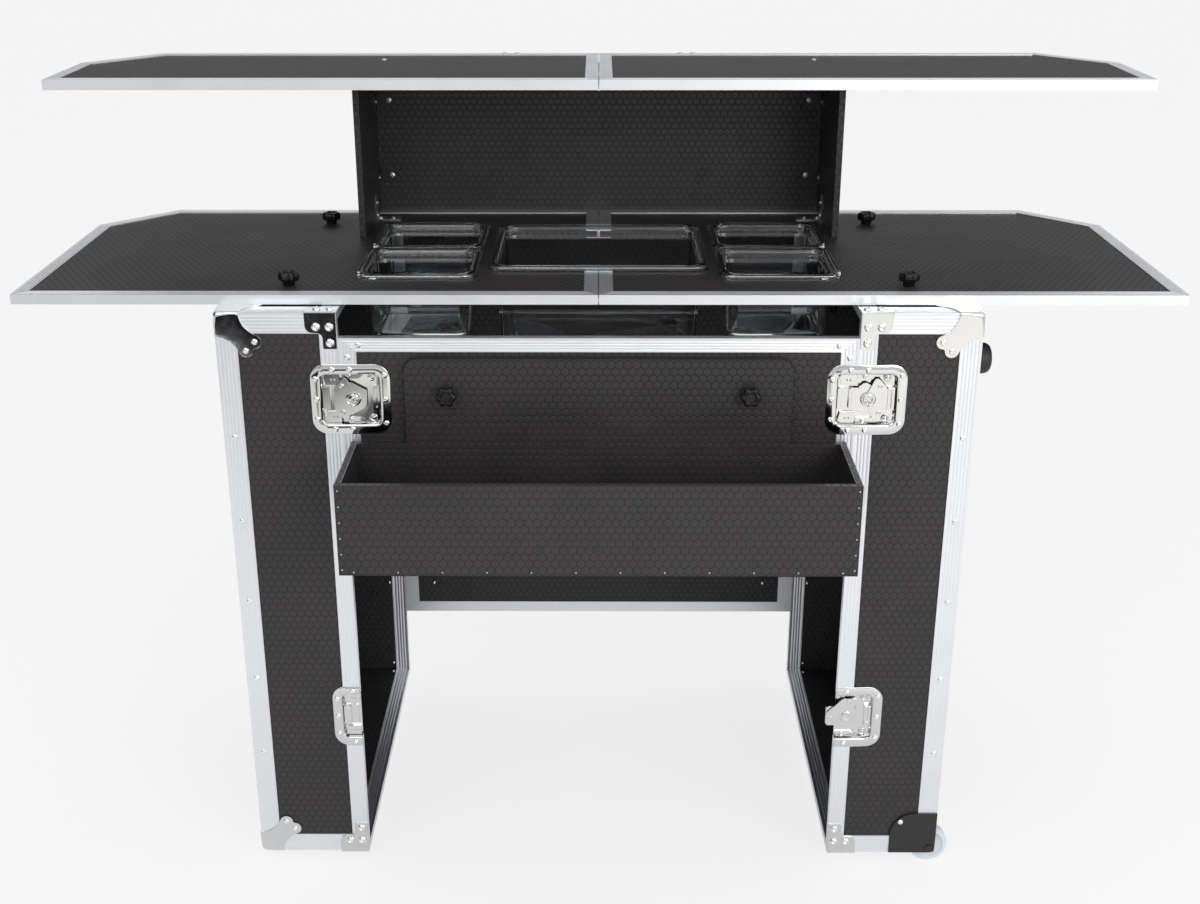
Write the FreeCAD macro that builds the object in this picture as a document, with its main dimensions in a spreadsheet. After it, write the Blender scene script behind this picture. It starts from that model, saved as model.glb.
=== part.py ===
import FreeCAD, Part
import math
import os
import re

import Sketcher

# A portable bar whose flight case is its base: two open-sided case shells stand as legs,
# an apron and a fascia lock between them, and a working counter with food pans, a riser and
# a serving counter stand on top. The bartender's side is -Y. Millimetres and degrees.

# Sizes
SIZES = {
    # legs: the two shells of the case
    "bay_width": 722.0,
    "leg_width": 169.0,
    "leg_depth": 562.0,
    "leg_height": 884.5,
    "ply_thickness": 9.5,
    "profile_wall": 1.5,
    "angle_width": 30.0,
    "rim_width": 25.0,
    "rim_web": 3.0,
    # feet
    "foot_height": 22.0,
    "foot_diameter": 45.0,
    "foot_end_diameter": 38.0,
    "foot_inset": 60.0,
    "side_foot_height": 33.0,
    "side_foot_inset": 72.0,
    "side_foot_drop": 88.0,
    # ball corners
    "cap_sheet": 1.5,
    "cap_scoop_inset": 72.0,
    "cap_lobe_radius": 9.0,
    "cap_lobe_far": 56.0,
    "cap_lobe_near": 43.0,
    # flat braces on the corners of the open rims
    "brace_width": 44.0,
    "brace_height": 52.0,
    "brace_arm": 20.0,
    "brace_head": 28.0,
    "brace_return": 25.0,
    "brace_rivet_near": 10.0,
    "brace_rivet_far": 28.5,
    "brace_rivet_level": 20.0,
    "brace_rivet_low": 43.0,
    "brace_rivet_depth": 14.0,
    # rivets and screws
    "big_rivet_diameter": 12.0,
    "big_rivet_crown": 8.0,
    "big_rivet_height": 2.8,
    "rivet_diameter": 8.8,
    "rivet_crown": 5.2,
    "rivet_height": 2.0,
    "rivet_top": 184.0,
    "rivet_bottom": 180.5,
    "screw_diameter": 7.0,
    "screw_crown": 5.0,
    "screw_height": 2.2,
    "hand_clearance": 0.3,
    # corner castors of the right leg
    "wheel_diameter": 60.0,
    "wheel_width": 22.0,
    "wheel_hub_diameter": 16.0,
    "axle_diameter": 8.0,
    "axle_head_diameter": 12.0,
    "axle_head_height": 2.0,
    "axle_inset": 8.5,
    "running_clearance": 0.05,
    "housing_reach": 45.0,
    "housing_width": 36.0,
    "housing_wall": 2.5,
    "castor_plate": 72.0,
    "castor_plate_round": 38.0,
    "castor_plate_corner": 8.0,
    "castor_rivet_inset": 57.0,
    "castor_sheet": 2.0,
    # recessed side handles
    "handle_length": 170.0,
    "handle_width": 110.0,
    "handle_flange": 20.0,
    "handle_depth": 17.0,
    "handle_level": 520.0,
    "handle_corner": 12.0,
    "dish_sheet": 1.2,
    "bail_span": 112.0,
    "bail_drop": 44.0,
    "bail_wire": 6.0,
    "bail_grip_diameter": 13.0,
    "bail_grip_length": 92.0,
    "bail_pivot_rise": 24.0,
    "bail_pivot_depth": 8.0,
    # recessed latches
    "latch_height": 104.0,
    "latch_corner": 22.0,
    "well_corner": 8.0,
    "latch_flange": 15.0,
    "keeper_rivet_spread": 30.0,
    "keeper_rivet_inset": 10.0,
    "turn_rivet_spread": 36.0,
    "turn_rivet_inset": 14.5,
    "latch_recess": 9.5,
    "latch_fit": 0.2,
    "keeper_width": 42.0,
    "turn_width": 70.0,
    "upper_latch_drop": 90.0,
    "lower_latch_rise": 109.5,
    "pivot_inset": 17.0,
    "pivot_diameter": 8.0,
    "pivot_cap_height": 1.0,
    "catch_inset": 4.5,
    "catch_thickness": 2.5,
    "catch_length": 30.0,
    "hook_sheet": 2.0,
    "hook_reach": 10.0,
    "hook_lip": 2.5,
    "hook_tail": 36.0,
    "hook_tip_width": 34.0,
    "hook_waist_width": 50.0,
    "hook_tail_width": 24.0,
    "hook_travel": 5.0,
    "open_hook_travel": 3.75,
    "open_latch_turn": 135.0,
    "flipped_latch_turn": 180.0,
    "turn_sheet": 2.4,
    "turn_hub_diameter": 22.0,
    "turn_wing_width": 26.5,
    "turn_wing_edge": 30.0,
    "turn_wing_tip": 11.0,
    "turn_wing_span": 62.0,
    # apron and fascia between the legs
    "rail_width": 20.0,
    "corner_rivet_inset": 28.0,
    "apron_height": 333.0,
    "apron_drop": 38.0,
    "fascia_height": 749.0,
    # speed rail tray
    "tray_side_gap": 11.0,
    "tray_depth": 160.0,
    "tray_height": 132.0,
    "tray_wall": 9.0,
    "tray_drop": 285.0,
    "tongue_inset": 80.0,
    "tongue_height": 257.0,
    "tongue_round": 18.0,
    "tray_knob_inset": 59.0,
    "tray_knob_drop": 50.0,
    # counters
    "counter_width": 1640.0,
    "counter_depth": 524.5,
    "counter_thickness": 14.0,
    "counter_setback": 35.0,
    "counter_chamfer_x": 104.0,
    "counter_chamfer_y": 109.0,
    "counter_flange": 20.0,
    "split_gap": 1.0,
    "upper_depth": 303.0,
    "upper_thickness": 15.0,
    "upper_chamfer_x": 101.0,
    "upper_chamfer_y": 116.0,
    # fold hinges under the counters
    "hinge_leaf": 30.0,
    "hinge_length": 60.0,
    "hinge_sheet": 2.0,
    "hinge_barrel": 7.0,
    "front_hinge_inset": 33.0,
    "rear_hinge_inset": 14.0,
    "upper_hinge_inset": 40.0,
    # riser
    "riser_overlap": 19.5,
    "riser_height": 246.0,
    "riser_depth": 188.5,
    "riser_angle_leg": 28.0,
    "riser_angle_height": 20.0,
    "riser_angle_sheet": 2.0,
    "riser_angle_high": 60.0,
    "riser_angle_low": 186.0,
    "foot_bracket_leg": 42.0,
    "foot_bracket_width": 18.0,
    "foot_bracket_inset": 53.0,
    # star knobs
    "knob_diameter": 30.0,
    "knob_height": 13.0,
    "knob_core_diameter": 22.0,
    "knob_lobe_diameter": 9.0,
    "knob_collar_diameter": 17.0,
    "knob_collar_height": 6.0,
    "knob_dimple_diameter": 14.0,
    "knob_dimple_depth": 2.5,
    "stud_diameter": 8.0,
    "stud_overrun": 4.0,
    "stud_clearance": 0.3,
    "counter_knob_inset": 80.0,
    "counter_knob_front": 56.0,
    "counter_knob_pitch": 374.0,
    # food pans
    "small_pan_length": 176.0,
    "small_pan_width": 162.0,
    "small_pan_depth": 100.0,
    "large_pan_width": 265.0,
    "large_pan_depth": 150.0,
    "pan_wall": 2.5,
    "pan_rim_height": 7.0,
    "pan_rim_lap": 9.0,
    "pan_corner": 22.0,
    "tub_corner": 14.0,
    "pan_taper": 3.0,
    "pan_hole_clearance": 1.5,
    "pan_bay_gap": 9.0,
    "pan_side_gap": 13.5,
    "small_pan_front": 84.0,
    "small_pan_gap": 4.0,
    "large_pan_front": 126.0,
    # overrun of every cutter past the face that it cuts
    "overrun": 5.0,
}

KNOB_LOBES = 6
STILE_RIVETS = 5
COUNTER_SCREW_SHARES = ((0.421, 0.244), (0.188, 0.033), (0.163, 0.033))

# Places worked out from the sizes, from the floor up and from the front to the rear
LEG_BOTTOM = "foot_height"
LEG_TOP = "(foot_height + leg_height)"
COUNTER_BOTTOM = "(foot_height + leg_height + cap_sheet)"
COUNTER_TOP = "(foot_height + leg_height + cap_sheet + counter_thickness)"
COUNTER_PLY_TOP = f"({COUNTER_TOP} - profile_wall)"
RISER_TOP = f"({COUNTER_TOP} + riser_height)"
OVERALL_DEPTH = "(tray_depth + counter_setback + counter_depth + ply_thickness)"
LEG_FRONT = f"(tray_depth - {OVERALL_DEPTH} / 2)"
LEG_REAR = f"({LEG_FRONT} + leg_depth)"
COUNTER_FRONT = f"({LEG_FRONT} + counter_setback)"
COUNTER_REAR = f"({COUNTER_FRONT} + counter_depth)"
UPPER_REAR = f"({COUNTER_REAR} + ply_thickness)"
UPPER_FRONT = f"({UPPER_REAR} - upper_depth)"
BAY_HALF = "(bay_width / 2)"
LEG_OUTSIDE = "(bay_width / 2 + leg_width)"
SHELL_WALL = "(ply_thickness + 2 * profile_wall)"
APRON_TOP = f"({COUNTER_BOTTOM} - apron_drop)"
APRON_BOTTOM = f"({COUNTER_BOTTOM} - apron_drop - apron_height)"
FASCIA_BOTTOM = f"({LEG_TOP} - fascia_height)"
TRAY_BOTTOM = f"({APRON_TOP} - tray_drop)"
UPPER_LATCH = f"({APRON_TOP} - upper_latch_drop)"
LOWER_LATCH = f"({FASCIA_BOTTOM} + lower_latch_rise)"
WELL_DEPTH = "(latch_recess + dish_sheet)"

# Widths worked out from the bay
TRAY_WIDTH = "(bay_width - 2 * tray_side_gap)"
TONGUE_HALF = f"({TRAY_WIDTH} / 2 - tongue_inset)"
RISER_WIDTH = "(bay_width + 2 * riser_overlap)"
COUNTER_KNOB_X = f"({BAY_HALF} + counter_knob_inset)"
LARGE_PAN_LENGTH = "(bay_width - 2 * (pan_bay_gap + small_pan_length + pan_side_gap))"

LEFT, RIGHT = -1, 1
FRONT, REAR = 1, -1

X_AXIS = FreeCAD.Vector(1, 0, 0)
Y_AXIS = FreeCAD.Vector(0, 1, 0)
Z_AXIS = FreeCAD.Vector(0, 0, 1)
DIAGONAL = FreeCAD.Vector(1, 1, 1)
LEVEL = FreeCAD.Rotation()
ALONG = {
    "+x": FreeCAD.Rotation(Y_AXIS, 90),
    "-x": FreeCAD.Rotation(Y_AXIS, -90),
    "+y": FreeCAD.Rotation(X_AXIS, -90),
    "-y": FreeCAD.Rotation(X_AXIS, 90),
    "+z": LEVEL,
    "-z": FreeCAD.Rotation(X_AXIS, 180),
}

doc = FreeCAD.newDocument("portable_bar")
NODES = []


def write_sheet():
    """Puts each size in a cell of its own, under its name."""
    sheet = doc.addObject("Spreadsheet::Sheet", "sizes")
    for row, (name, value) in enumerate(SIZES.items(), 1):
        sheet.set(f"A{row}", name)
        sheet.set(f"B{row}", str(value))
        sheet.setAlias(f"B{row}", name)
    doc.recompute()


def formula(text):
    """Points each size named in a formula at its cell in the sheet."""
    return re.sub(r"[a-z]\w*", lambda word: ("sizes." if word.group() in SIZES else "") + word.group(), text)


def bind(item, **sizes):
    """Ties an object's own sizes to formulas of the sheet's sizes."""
    for name, text in sizes.items():
        item.setExpression(name, formula(text))


def place(item, at, rotation=LEVEL):
    """Turns an object and ties its position to formulas."""
    item.Placement = FreeCAD.Placement(FreeCAD.Vector(), rotation)
    for axis, text in zip("xyz", at):
        item.setExpression(f"Placement.Base.{axis}", formula(text))
    return item


def node(item, name):
    """Names an object as a piece of the bar that has a file of its own."""
    item.Label = name
    NODES.append(item)
    return item


# Plain solids and their combinations
def block(name, corner, size, grow=(1, 1, 1)):
    """A box that grows from a corner, along or against each axis."""
    item = doc.addObject("Part::Box", name)
    bind(item, Length=size[0], Width=size[1], Height=size[2])
    low = [start if way > 0 else f"{start} - ({length})" for start, length, way in zip(corner, size, grow)]
    return place(item, low)


def cylinder(name, foot, radius, length, along="+z"):
    """A cylinder that stands on the point foot and points along an axis."""
    item = doc.addObject("Part::Cylinder", name)
    bind(item, Radius=radius, Height=length)
    return place(item, foot, ALONG[along])


def frustum(name, foot, radius, end_radius, length, along="+z"):
    """A cone's stump that stands on the point foot and points along an axis."""
    item = doc.addObject("Part::Cone", name)
    bind(item, Radius1=radius, Radius2=end_radius, Height=length)
    return place(item, foot, ALONG[along])


def cut(name, base, *tools):
    """What is left of base after each tool."""
    for number, tool in enumerate(tools, 1):
        left = doc.addObject("Part::Cut", name if number == len(tools) else f"{name}_step")
        left.Base = base
        left.Tool = tool
        base = left
    return base


def fuse(name, *items):
    """Several solids that are one piece."""
    item = doc.addObject("Part::MultiFuse", name)
    item.Shapes = list(items)
    return item


def group(name, items):
    """Separate pieces that share a node."""
    item = doc.addObject("Part::Compound", name)
    item.Links = list(items)
    return item


def copies(name, master, spots):
    """The same piece at several places, each a position and a rotation."""
    links = []
    for at, rotation in spots:
        link = doc.addObject("App::Link", f"{name}_copy")
        link.LinkedObject = master
        link.LinkTransform = True
        links.append(place(link, at, rotation))
    return group(name, links)


# Sketched solids
def outline(owner, points, height="0", role="XY_Plane"):
    """A closed straight-sided sketch on one of a body's planes, each corner tied to formulas."""
    sketch = owner.newObject("Sketcher::SketchObject", f"{owner.Name}_outline")
    face = next(item for item in owner.Origin.OriginFeatures if item.Role == role)
    sketch.AttachmentSupport = [(face, "")]
    sketch.MapMode = "FlatFace"
    sketch.setExpression("AttachmentOffset.Base.z", formula(height))
    count = len(points)
    turns = [2 * math.pi * step / count for step in range(count)]
    spots = [FreeCAD.Vector(math.cos(turn), math.sin(turn), 0) for turn in turns]
    for start, end in zip(spots, spots[1:] + spots[:1]):
        sketch.addGeometry(Part.LineSegment(start, end))
    for line in range(count):
        sketch.addConstraint(Sketcher.Constraint("Coincident", line, 2, (line + 1) % count, 1))
    for line, (spot, point) in enumerate(zip(spots, points)):
        for kind, start, text in (("DistanceX", spot.x, point[0]), ("DistanceY", spot.y, point[1])):
            index = sketch.addConstraint(Sketcher.Constraint(kind, -1, 1, line, 1, start))
            sketch.setExpression(f"Constraints[{index}]", formula(text))
    return sketch


def rectangle(owner, low, high, height="0", role="XY_Plane"):
    """A sketched rectangle between two corners."""
    points = [(low[0], low[1]), (high[0], low[1]), (high[0], high[1]), (low[0], high[1])]
    return outline(owner, points, height, role)


def centred(owner, length, width, height="0"):
    """A sketched rectangle about the body's own axis."""
    half_length, half_width = f"({length}) / 2", f"({width}) / 2"
    return rectangle(owner, (f"-{half_length}", f"-{half_width}"), (half_length, half_width), height)


def pad(owner, sketch, length, down=False, taper=None):
    """Grows a sketch into the body, up or down."""
    item = owner.newObject("PartDesign::Pad", f"{owner.Name}_pad")
    item.Profile = sketch
    item.Reversed = down
    bind(item, Length=length)
    if taper:
        bind(item, TaperAngle=f"-{taper}")
    owner.Tip = item
    return item


def pocket(owner, sketch, depth, up=False, taper=None):
    """Cuts a sketch out of the body, down or up."""
    item = owner.newObject("PartDesign::Pocket", f"{owner.Name}_pocket")
    item.Profile = sketch
    item.Reversed = up
    bind(item, Length=depth)
    if taper:
        bind(item, TaperAngle=f"-{taper}")
    owner.Tip = item
    return item


def fillet(owner, radius, chosen):
    """Rounds the edges of the body's last feature that the test chosen picks by their middles."""
    doc.recompute()
    base = owner.Tip
    names = []
    for index, edge in enumerate(base.Shape.Edges, 1):
        middle = edge.valueAt((edge.FirstParameter + edge.LastParameter) / 2)
        ends = edge.Vertexes[-1].Point - edge.Vertexes[0].Point
        if chosen(middle, ends):
            names.append(f"Edge{index}")
    item = owner.newObject("PartDesign::Fillet", f"{owner.Name}_fillet")
    item.Base = (base, names)
    bind(item, Radius=radius)
    owner.Tip = item
    return item


def body(name):
    """A body to sketch on."""
    return doc.addObject("PartDesign::Body", name)


def upright(ends):
    """Whether an edge runs mostly up and down."""
    return abs(ends.z) > abs(ends.x) + abs(ends.y)


# Mirrored places
def side_x(side, text):
    """A distance from the middle of the bar, on the left or the right."""
    return f"{side} * ({text})"


def face_y(face):
    """The front or the rear face of the legs."""
    return LEG_FRONT if face == FRONT else LEG_REAR


# Latch places: each lies on the split between a leg and what stands between the legs
LATCHES = [
    (f"{face_word}_{level_word}_{side_word}", side, face, level)
    for face_word, face in (("front", FRONT), ("rear", REAR))
    for level_word, level in (("upper", UPPER_LATCH), ("lower", LOWER_LATCH))
    for side_word, side in (("left", LEFT), ("right", RIGHT))
]
OPEN_LATCH = "front_lower_right"
REST_TURNS = {OPEN_LATCH: SIZES["open_latch_turn"], "front_upper_left": SIZES["flipped_latch_turn"]}
TURN_FACING = {FRONT: FreeCAD.Rotation(X_AXIS, 90), REAR: FreeCAD.Rotation(X_AXIS, -90)}
KEEPER_FACING = {
    FRONT: FreeCAD.Rotation(Y_AXIS, 180) * FreeCAD.Rotation(X_AXIS, 90),
    REAR: FreeCAD.Rotation(Z_AXIS, 180) * FreeCAD.Rotation(X_AXIS, 90),
}


def between_legs(face, level):
    """Whether a panel stands between the legs at this face and level."""
    return face == REAR or level == UPPER_LATCH


def has_turn(side, face, level):
    """Every latch turns on the right-hand piece of its split, where there is one."""
    return side == RIGHT or between_legs(face, level)


def has_keeper(side, face, level):
    """Every keeper is on the left-hand piece of its split, where there is one."""
    return side == LEFT or between_legs(face, level)


def latch_spot(side, face, level):
    """The middle of a latch, on the split and the outer face."""
    return (side_x(side, "bay_width / 2"), face_y(face), level)


def well_cutter(name, side, face, level, way, depth, sideways="0"):
    """Room for a latch's well, from the split to the left or the right."""
    width = "turn_width" if way == RIGHT else "keeper_width"
    height = "(latch_height - 2 * latch_flange + 2 * latch_fit)"
    x, y, z = latch_spot(side, face, level)
    start_x = f"{x} - {way} * overrun"
    start_y = f"{y} - {face} * overrun"
    length = f"{width} - latch_flange + latch_fit + overrun + {sideways}"
    return block(name, (start_x, start_y, f"{z} - {height} / 2"), (length, f"{depth} + overrun", height),
                 (way, face, 1))


# Legs
def leg_panels(side):
    """Five ply panels of a case shell, which is open towards the bay."""
    word = "left" if side == LEFT else "right"
    inner = f"({BAY_HALF} + rim_web)"
    outer = f"({LEG_OUTSIDE} - profile_wall)"
    run = f"({outer} - ply_thickness - {inner})"
    low = f"{LEG_BOTTOM} + profile_wall"
    tall = "leg_height - 2 * profile_wall"
    deep = "leg_depth - 2 * profile_wall"
    side_panel = block(f"{word}_side_panel", (side_x(side, outer), f"{LEG_FRONT} + profile_wall", low),
                       ("ply_thickness", deep, tall), (-side, 1, 1))
    side_panel = cut(f"{word}_side_panel_cut", side_panel, handle_cutter(side))
    panels = []
    for face in (FRONT, REAR):
        panel = block(f"{word}_face_panel",
                      (side_x(side, inner), f"{face_y(face)} + {face} * profile_wall", low),
                      (run, "ply_thickness", tall), (side, face, 1))
        for name, latch_side, latch_face, level in LATCHES:
            if latch_side == side and latch_face == face:
                panel = cut(f"{word}_face_panel_cut", panel,
                            well_cutter(f"{name}_hole", side, face, level, side, SHELL_WALL))
        panels.append(panel)
    for end, height in ((1, low), (-1, f"{LEG_TOP} - profile_wall")):
        panels.append(block(f"{word}_end_panel",
                            (side_x(side, inner), f"{LEG_FRONT} + profile_wall + ply_thickness", height),
                            (run, "leg_depth - 2 * profile_wall - 2 * ply_thickness", "ply_thickness"),
                            (side, 1, end)))
    holes = [cylinder(f"{word}_stud_hole",
                      (side_x(side, COUNTER_KNOB_X), y, f"{LEG_TOP} - {SHELL_WALL} - overrun"),
                      "stud_diameter / 2 + stud_clearance", f"{SHELL_WALL} + 2 * overrun")
             for y in counter_knob_rows()]
    panels[-1] = cut(f"{word}_top_panel", panels[-1], *holes)
    if side == RIGHT:
        rooms = [castor_room(face) for face in (FRONT, REAR)]
        side_panel = cut("right_side_panel_notched", side_panel, *rooms)
        panels[0] = cut("right_front_panel_notched", panels[0], rooms[0])
        panels[1] = cut("right_rear_panel_notched", panels[1], rooms[1])
        panels[2] = cut("right_bottom_panel_notched", panels[2], *rooms)
    return node(group(f"{word}_leg_panels", [side_panel, *panels]), f"{word}_leg_panels")


def leg_edge_angles(side):
    """Eight aluminium angles over the outer edges of a shell."""
    word = "left" if side == LEFT else "right"
    inset = "(angle_width - profile_wall)"
    pieces = []

    def angle(corner, length, axis, grow):
        """One angle along an axis, its heel on the corner."""
        size = ["angle_width"] * 3
        size[axis] = length
        solid = block(f"{word}_angle_bar", corner, size, grow)
        hollow_corner = [f"{start} + {way} * profile_wall" for start, way in zip(corner, grow)]
        hollow_size = [f"{inset} + overrun"] * 3
        hollow_corner[axis] = f"{corner[axis]} - {grow[axis]} * overrun"
        hollow_size[axis] = f"{length} + 2 * overrun"
        pieces.append(cut(f"{word}_angle", solid,
                          block(f"{word}_angle_room", hollow_corner, hollow_size, grow)))

    heel_x = side_x(side, LEG_OUTSIDE)
    along_x = "leg_width - rim_width - angle_width"
    along_y = "leg_depth - 2 * angle_width"
    for face in (FRONT, REAR):
        angle((heel_x, face_y(face), LEG_BOTTOM), "leg_height", 2, (-side, face, 1))
    for end, height in ((1, LEG_BOTTOM), (-1, LEG_TOP)):
        angle((heel_x, f"{LEG_FRONT} + angle_width", height), along_y, 1, (-side, 1, end))
        for face in (FRONT, REAR):
            angle((side_x(side, f"{LEG_OUTSIDE} - angle_width"), face_y(face), height), along_x, 0,
                  (-side, face, end))
    if side == RIGHT:
        rooms = {face: castor_room(face) for face in (FRONT, REAR)}
        pieces[0] = cut("right_angle_notched", pieces[0], rooms[FRONT])
        pieces[1] = cut("right_angle_notched", pieces[1], rooms[REAR])
        pieces[2] = cut("right_angle_notched", pieces[2], rooms[FRONT], rooms[REAR])
        pieces[3] = cut("right_angle_notched", pieces[3], rooms[FRONT])
        pieces[4] = cut("right_angle_notched", pieces[4], rooms[REAR])
    return node(group(f"{word}_leg_edge_angles", pieces), f"{word}_leg_edge_angles")


def leg_closing_frame(side):
    """Four aluminium channels that close the rim of the open side."""
    word = "left" if side == LEFT else "right"
    rim_x = side_x(side, BAY_HALF)
    slot_x = side_x(side, f"{BAY_HALF} + rim_web")
    slot_run = "rim_width - rim_web + overrun"
    pieces = []
    for face in (FRONT, REAR):
        bar = block(f"{word}_upright_bar", (rim_x, face_y(face), LEG_BOTTOM),
                    ("rim_width", SHELL_WALL, "leg_height"),
                    (side, face, 1))
        slot = block(f"{word}_upright_slot",
                     (slot_x, f"{face_y(face)} + {face} * profile_wall", f"{LEG_BOTTOM} + profile_wall"),
                     (slot_run, "ply_thickness", "leg_height - 2 * profile_wall"), (side, face, 1))
        upright_piece = cut(f"{word}_upright", bar, slot)
        for end, height in ((1, LEG_BOTTOM), (-1, LEG_TOP)):
            seat = block(f"{word}_upright_seat", (slot_x, f"{face_y(face)} + {face} * profile_wall",
                                                  f"{height} + {end} * profile_wall"),
                         (slot_run, f"{SHELL_WALL}", "ply_thickness"), (side, face, end))
            upright_piece = cut(f"{word}_upright_seated", upright_piece, seat)
        for name, latch_side, latch_face, level in LATCHES:
            if latch_side == side and latch_face == face:
                upright_piece = cut(f"{word}_upright_notched", upright_piece,
                                    well_cutter(f"{name}_notch", side, face, level, side,
                                                f"{WELL_DEPTH} + latch_fit"))
        pieces.append(upright_piece)
    for end, height in ((1, LEG_BOTTOM), (-1, LEG_TOP)):
        bar = block(f"{word}_rail_bar", (rim_x, f"{LEG_FRONT} + {SHELL_WALL}", height),
                    ("rim_width", f"leg_depth - 2 * {SHELL_WALL}", SHELL_WALL), (side, 1, end))
        slot = block(f"{word}_rail_slot",
                     (slot_x, f"{LEG_FRONT} + {SHELL_WALL} - overrun", f"{height} + {end} * profile_wall"),
                     (slot_run, "leg_depth", "ply_thickness"), (side, 1, end))
        pieces.append(cut(f"{word}_rail", bar, slot))
    return node(group(f"{word}_leg_closing_frame", pieces), f"{word}_leg_closing_frame")


# Corner hardware
def corner_turn(grow):
    """The rotation that lays a corner piece's own axes along the three directions into the case."""
    columns = [FreeCAD.Vector(grow[0], 0, 0), FreeCAD.Vector(0, grow[1], 0), FreeCAD.Vector(0, 0, grow[2])]
    if grow[0] * grow[1] * grow[2] < 0:
        columns[0], columns[1] = columns[1], columns[0]
    return FreeCAD.Rotation(columns[0], columns[1], columns[2], "ZXY")


# Radius of a ball corner's scoops, at which they run into its lobes
CAP_SCOOP = ("(sqrt((cap_scoop_inset - cap_lobe_far) * (cap_scoop_inset - cap_lobe_far)"
             " + cap_lobe_near * cap_lobe_near) - cap_lobe_radius)")


def ball_corner():
    """A pressed corner cap: three alike flaps, scooped at the sides, that each end in two riveted lobes."""
    flaps = []
    for step in range(3):
        plate = body("cap_plate")
        points = [("0", "0"), ("cap_scoop_inset", "0"), ("cap_lobe_far", "cap_lobe_near"),
                  ("cap_lobe_near", "cap_lobe_far"), ("0", "cap_scoop_inset")]
        pad(plate, outline(plate, points), "cap_sheet")
        scoops = [cylinder("cap_scoop", at, CAP_SCOOP, "cap_sheet + 2 * overrun")
                  for at in (("cap_scoop_inset", "0", "-overrun"), ("0", "cap_scoop_inset", "-overrun"))]
        lobes = [cylinder("cap_lobe", at, "cap_lobe_radius", "cap_sheet")
                 for at in (("cap_lobe_far", "cap_lobe_near", "0"), ("cap_lobe_near", "cap_lobe_far", "0"))]
        flap = fuse("cap_flap", cut("cap_flap_plate", plate, *scoops), *lobes)
        flap.Placement = FreeCAD.Placement(FreeCAD.Vector(), FreeCAD.Rotation(DIAGONAL, 120 * step))
        flaps.append(flap)
    return fuse("ball_corner", *flaps)


def corner_caps():
    """Ball corners on the outer corners that have no castor."""
    master = ball_corner()
    spots = []
    for side in (LEFT, RIGHT):
        for face in (FRONT, REAR):
            for end, height in ((1, LEG_BOTTOM), (-1, LEG_TOP)):
                if side == RIGHT and end == 1:
                    continue
                at = (side_x(side, f"{LEG_OUTSIDE} + cap_sheet"), f"{face_y(face)} - {face} * cap_sheet",
                      f"{height} - {end} * cap_sheet")
                spots.append((at, corner_turn((-side, face, end))))
    return node(copies("corner_caps", master, spots), "corner_caps")


def corner_braces():
    """Bent steel braces over the corners of the open rims."""
    pieces = []
    for side in (LEFT, RIGHT):
        for face in (FRONT, REAR):
            for end, height in ((1, LEG_BOTTOM), (-1, LEG_TOP)):
                corner = (side_x(side, BAY_HALF), f"{face_y(face)} - {face} * cap_sheet",
                          f"{height} - {end} * cap_sheet")
                grow = (side, face, end)
                head = block("brace_head", corner, ("brace_width", "cap_sheet", "brace_head + cap_sheet"),
                             grow)
                arm = block("brace_arm", corner, ("brace_arm", "cap_sheet", "brace_height + cap_sheet"), grow)
                lip = block("brace_lip", corner, ("brace_width", "brace_return + cap_sheet", "cap_sheet"),
                            grow)
                pieces.append(fuse("brace", head, arm, lip))
    return node(group("corner_braces", pieces), "corner_braces")


def outwards(side):
    """The rotation that points a piece's own Z out of the left or the right side."""
    return ALONG["+x"] if side == RIGHT else ALONG["-x"]


def facing(face):
    """The rotation that points a piece's own Z out of the front or the rear."""
    return ALONG["-y"] if face == FRONT else ALONG["+y"]


def leg_corners():
    """Each leg's side, face, and end with its height, and whether a castor takes its outer corner."""
    for side in (LEFT, RIGHT):
        for face in (FRONT, REAR):
            for end, height in ((1, LEG_BOTTOM), (-1, LEG_TOP)):
                yield side, face, end, height, side == RIGHT and end == 1


def stile_rivet_spots():
    """Rivets down the outer stiles, on the face and on the side of each leg."""
    for side in (LEFT, RIGHT):
        for face in (FRONT, REAR):
            for step in range(STILE_RIVETS):
                share = step / (STILE_RIVETS - 1)
                z = f"{LEG_TOP} - rivet_top - {share} * (leg_height - rivet_top - rivet_bottom)"
                yield (side_x(side, f"{LEG_OUTSIDE} - angle_width / 2"), face_y(face), z), facing(face)
                yield (side_x(side, LEG_OUTSIDE), f"{face_y(face)} + {face} * angle_width / 2",
                       z), outwards(side)


def cap_rivet_spots():
    """Two rivets on the lobes of each ball corner's face and side flaps."""
    for side, face, end, height, castor in leg_corners():
        for near, far in (("cap_lobe_near", "cap_lobe_far"), ("cap_lobe_far", "cap_lobe_near")):
            if not castor:
                z = f"{height} + {end} * ({far} - cap_sheet)"
                yield ((side_x(side, f"{LEG_OUTSIDE} + cap_sheet - {near}"),
                        f"{face_y(face)} - {face} * cap_sheet", z),
                       facing(face))
                yield ((side_x(side, f"{LEG_OUTSIDE} + cap_sheet"),
                        f"{face_y(face)} + {face} * ({near} - cap_sheet)", z),
                       outwards(side))


def frame_rivet_spots():
    """Two rivets by each corner of the apron's and the fascia's frames."""
    for face, bottom, top in ((FRONT, APRON_BOTTOM, APRON_TOP), (REAR, FASCIA_BOTTOM, LEG_TOP)):
        for side in (LEFT, RIGHT):
            for end, height in ((1, bottom), (-1, top)):
                for inset_x, inset_z in (("rim_width / 2", "corner_rivet_inset"),
                                         ("corner_rivet_inset", "rail_width / 2")):
                    yield ((side_x(side, f"{BAY_HALF} - {inset_x}"), face_y(face),
                            f"{height} + {end} * {inset_z}"),
                           facing(face))


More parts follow.
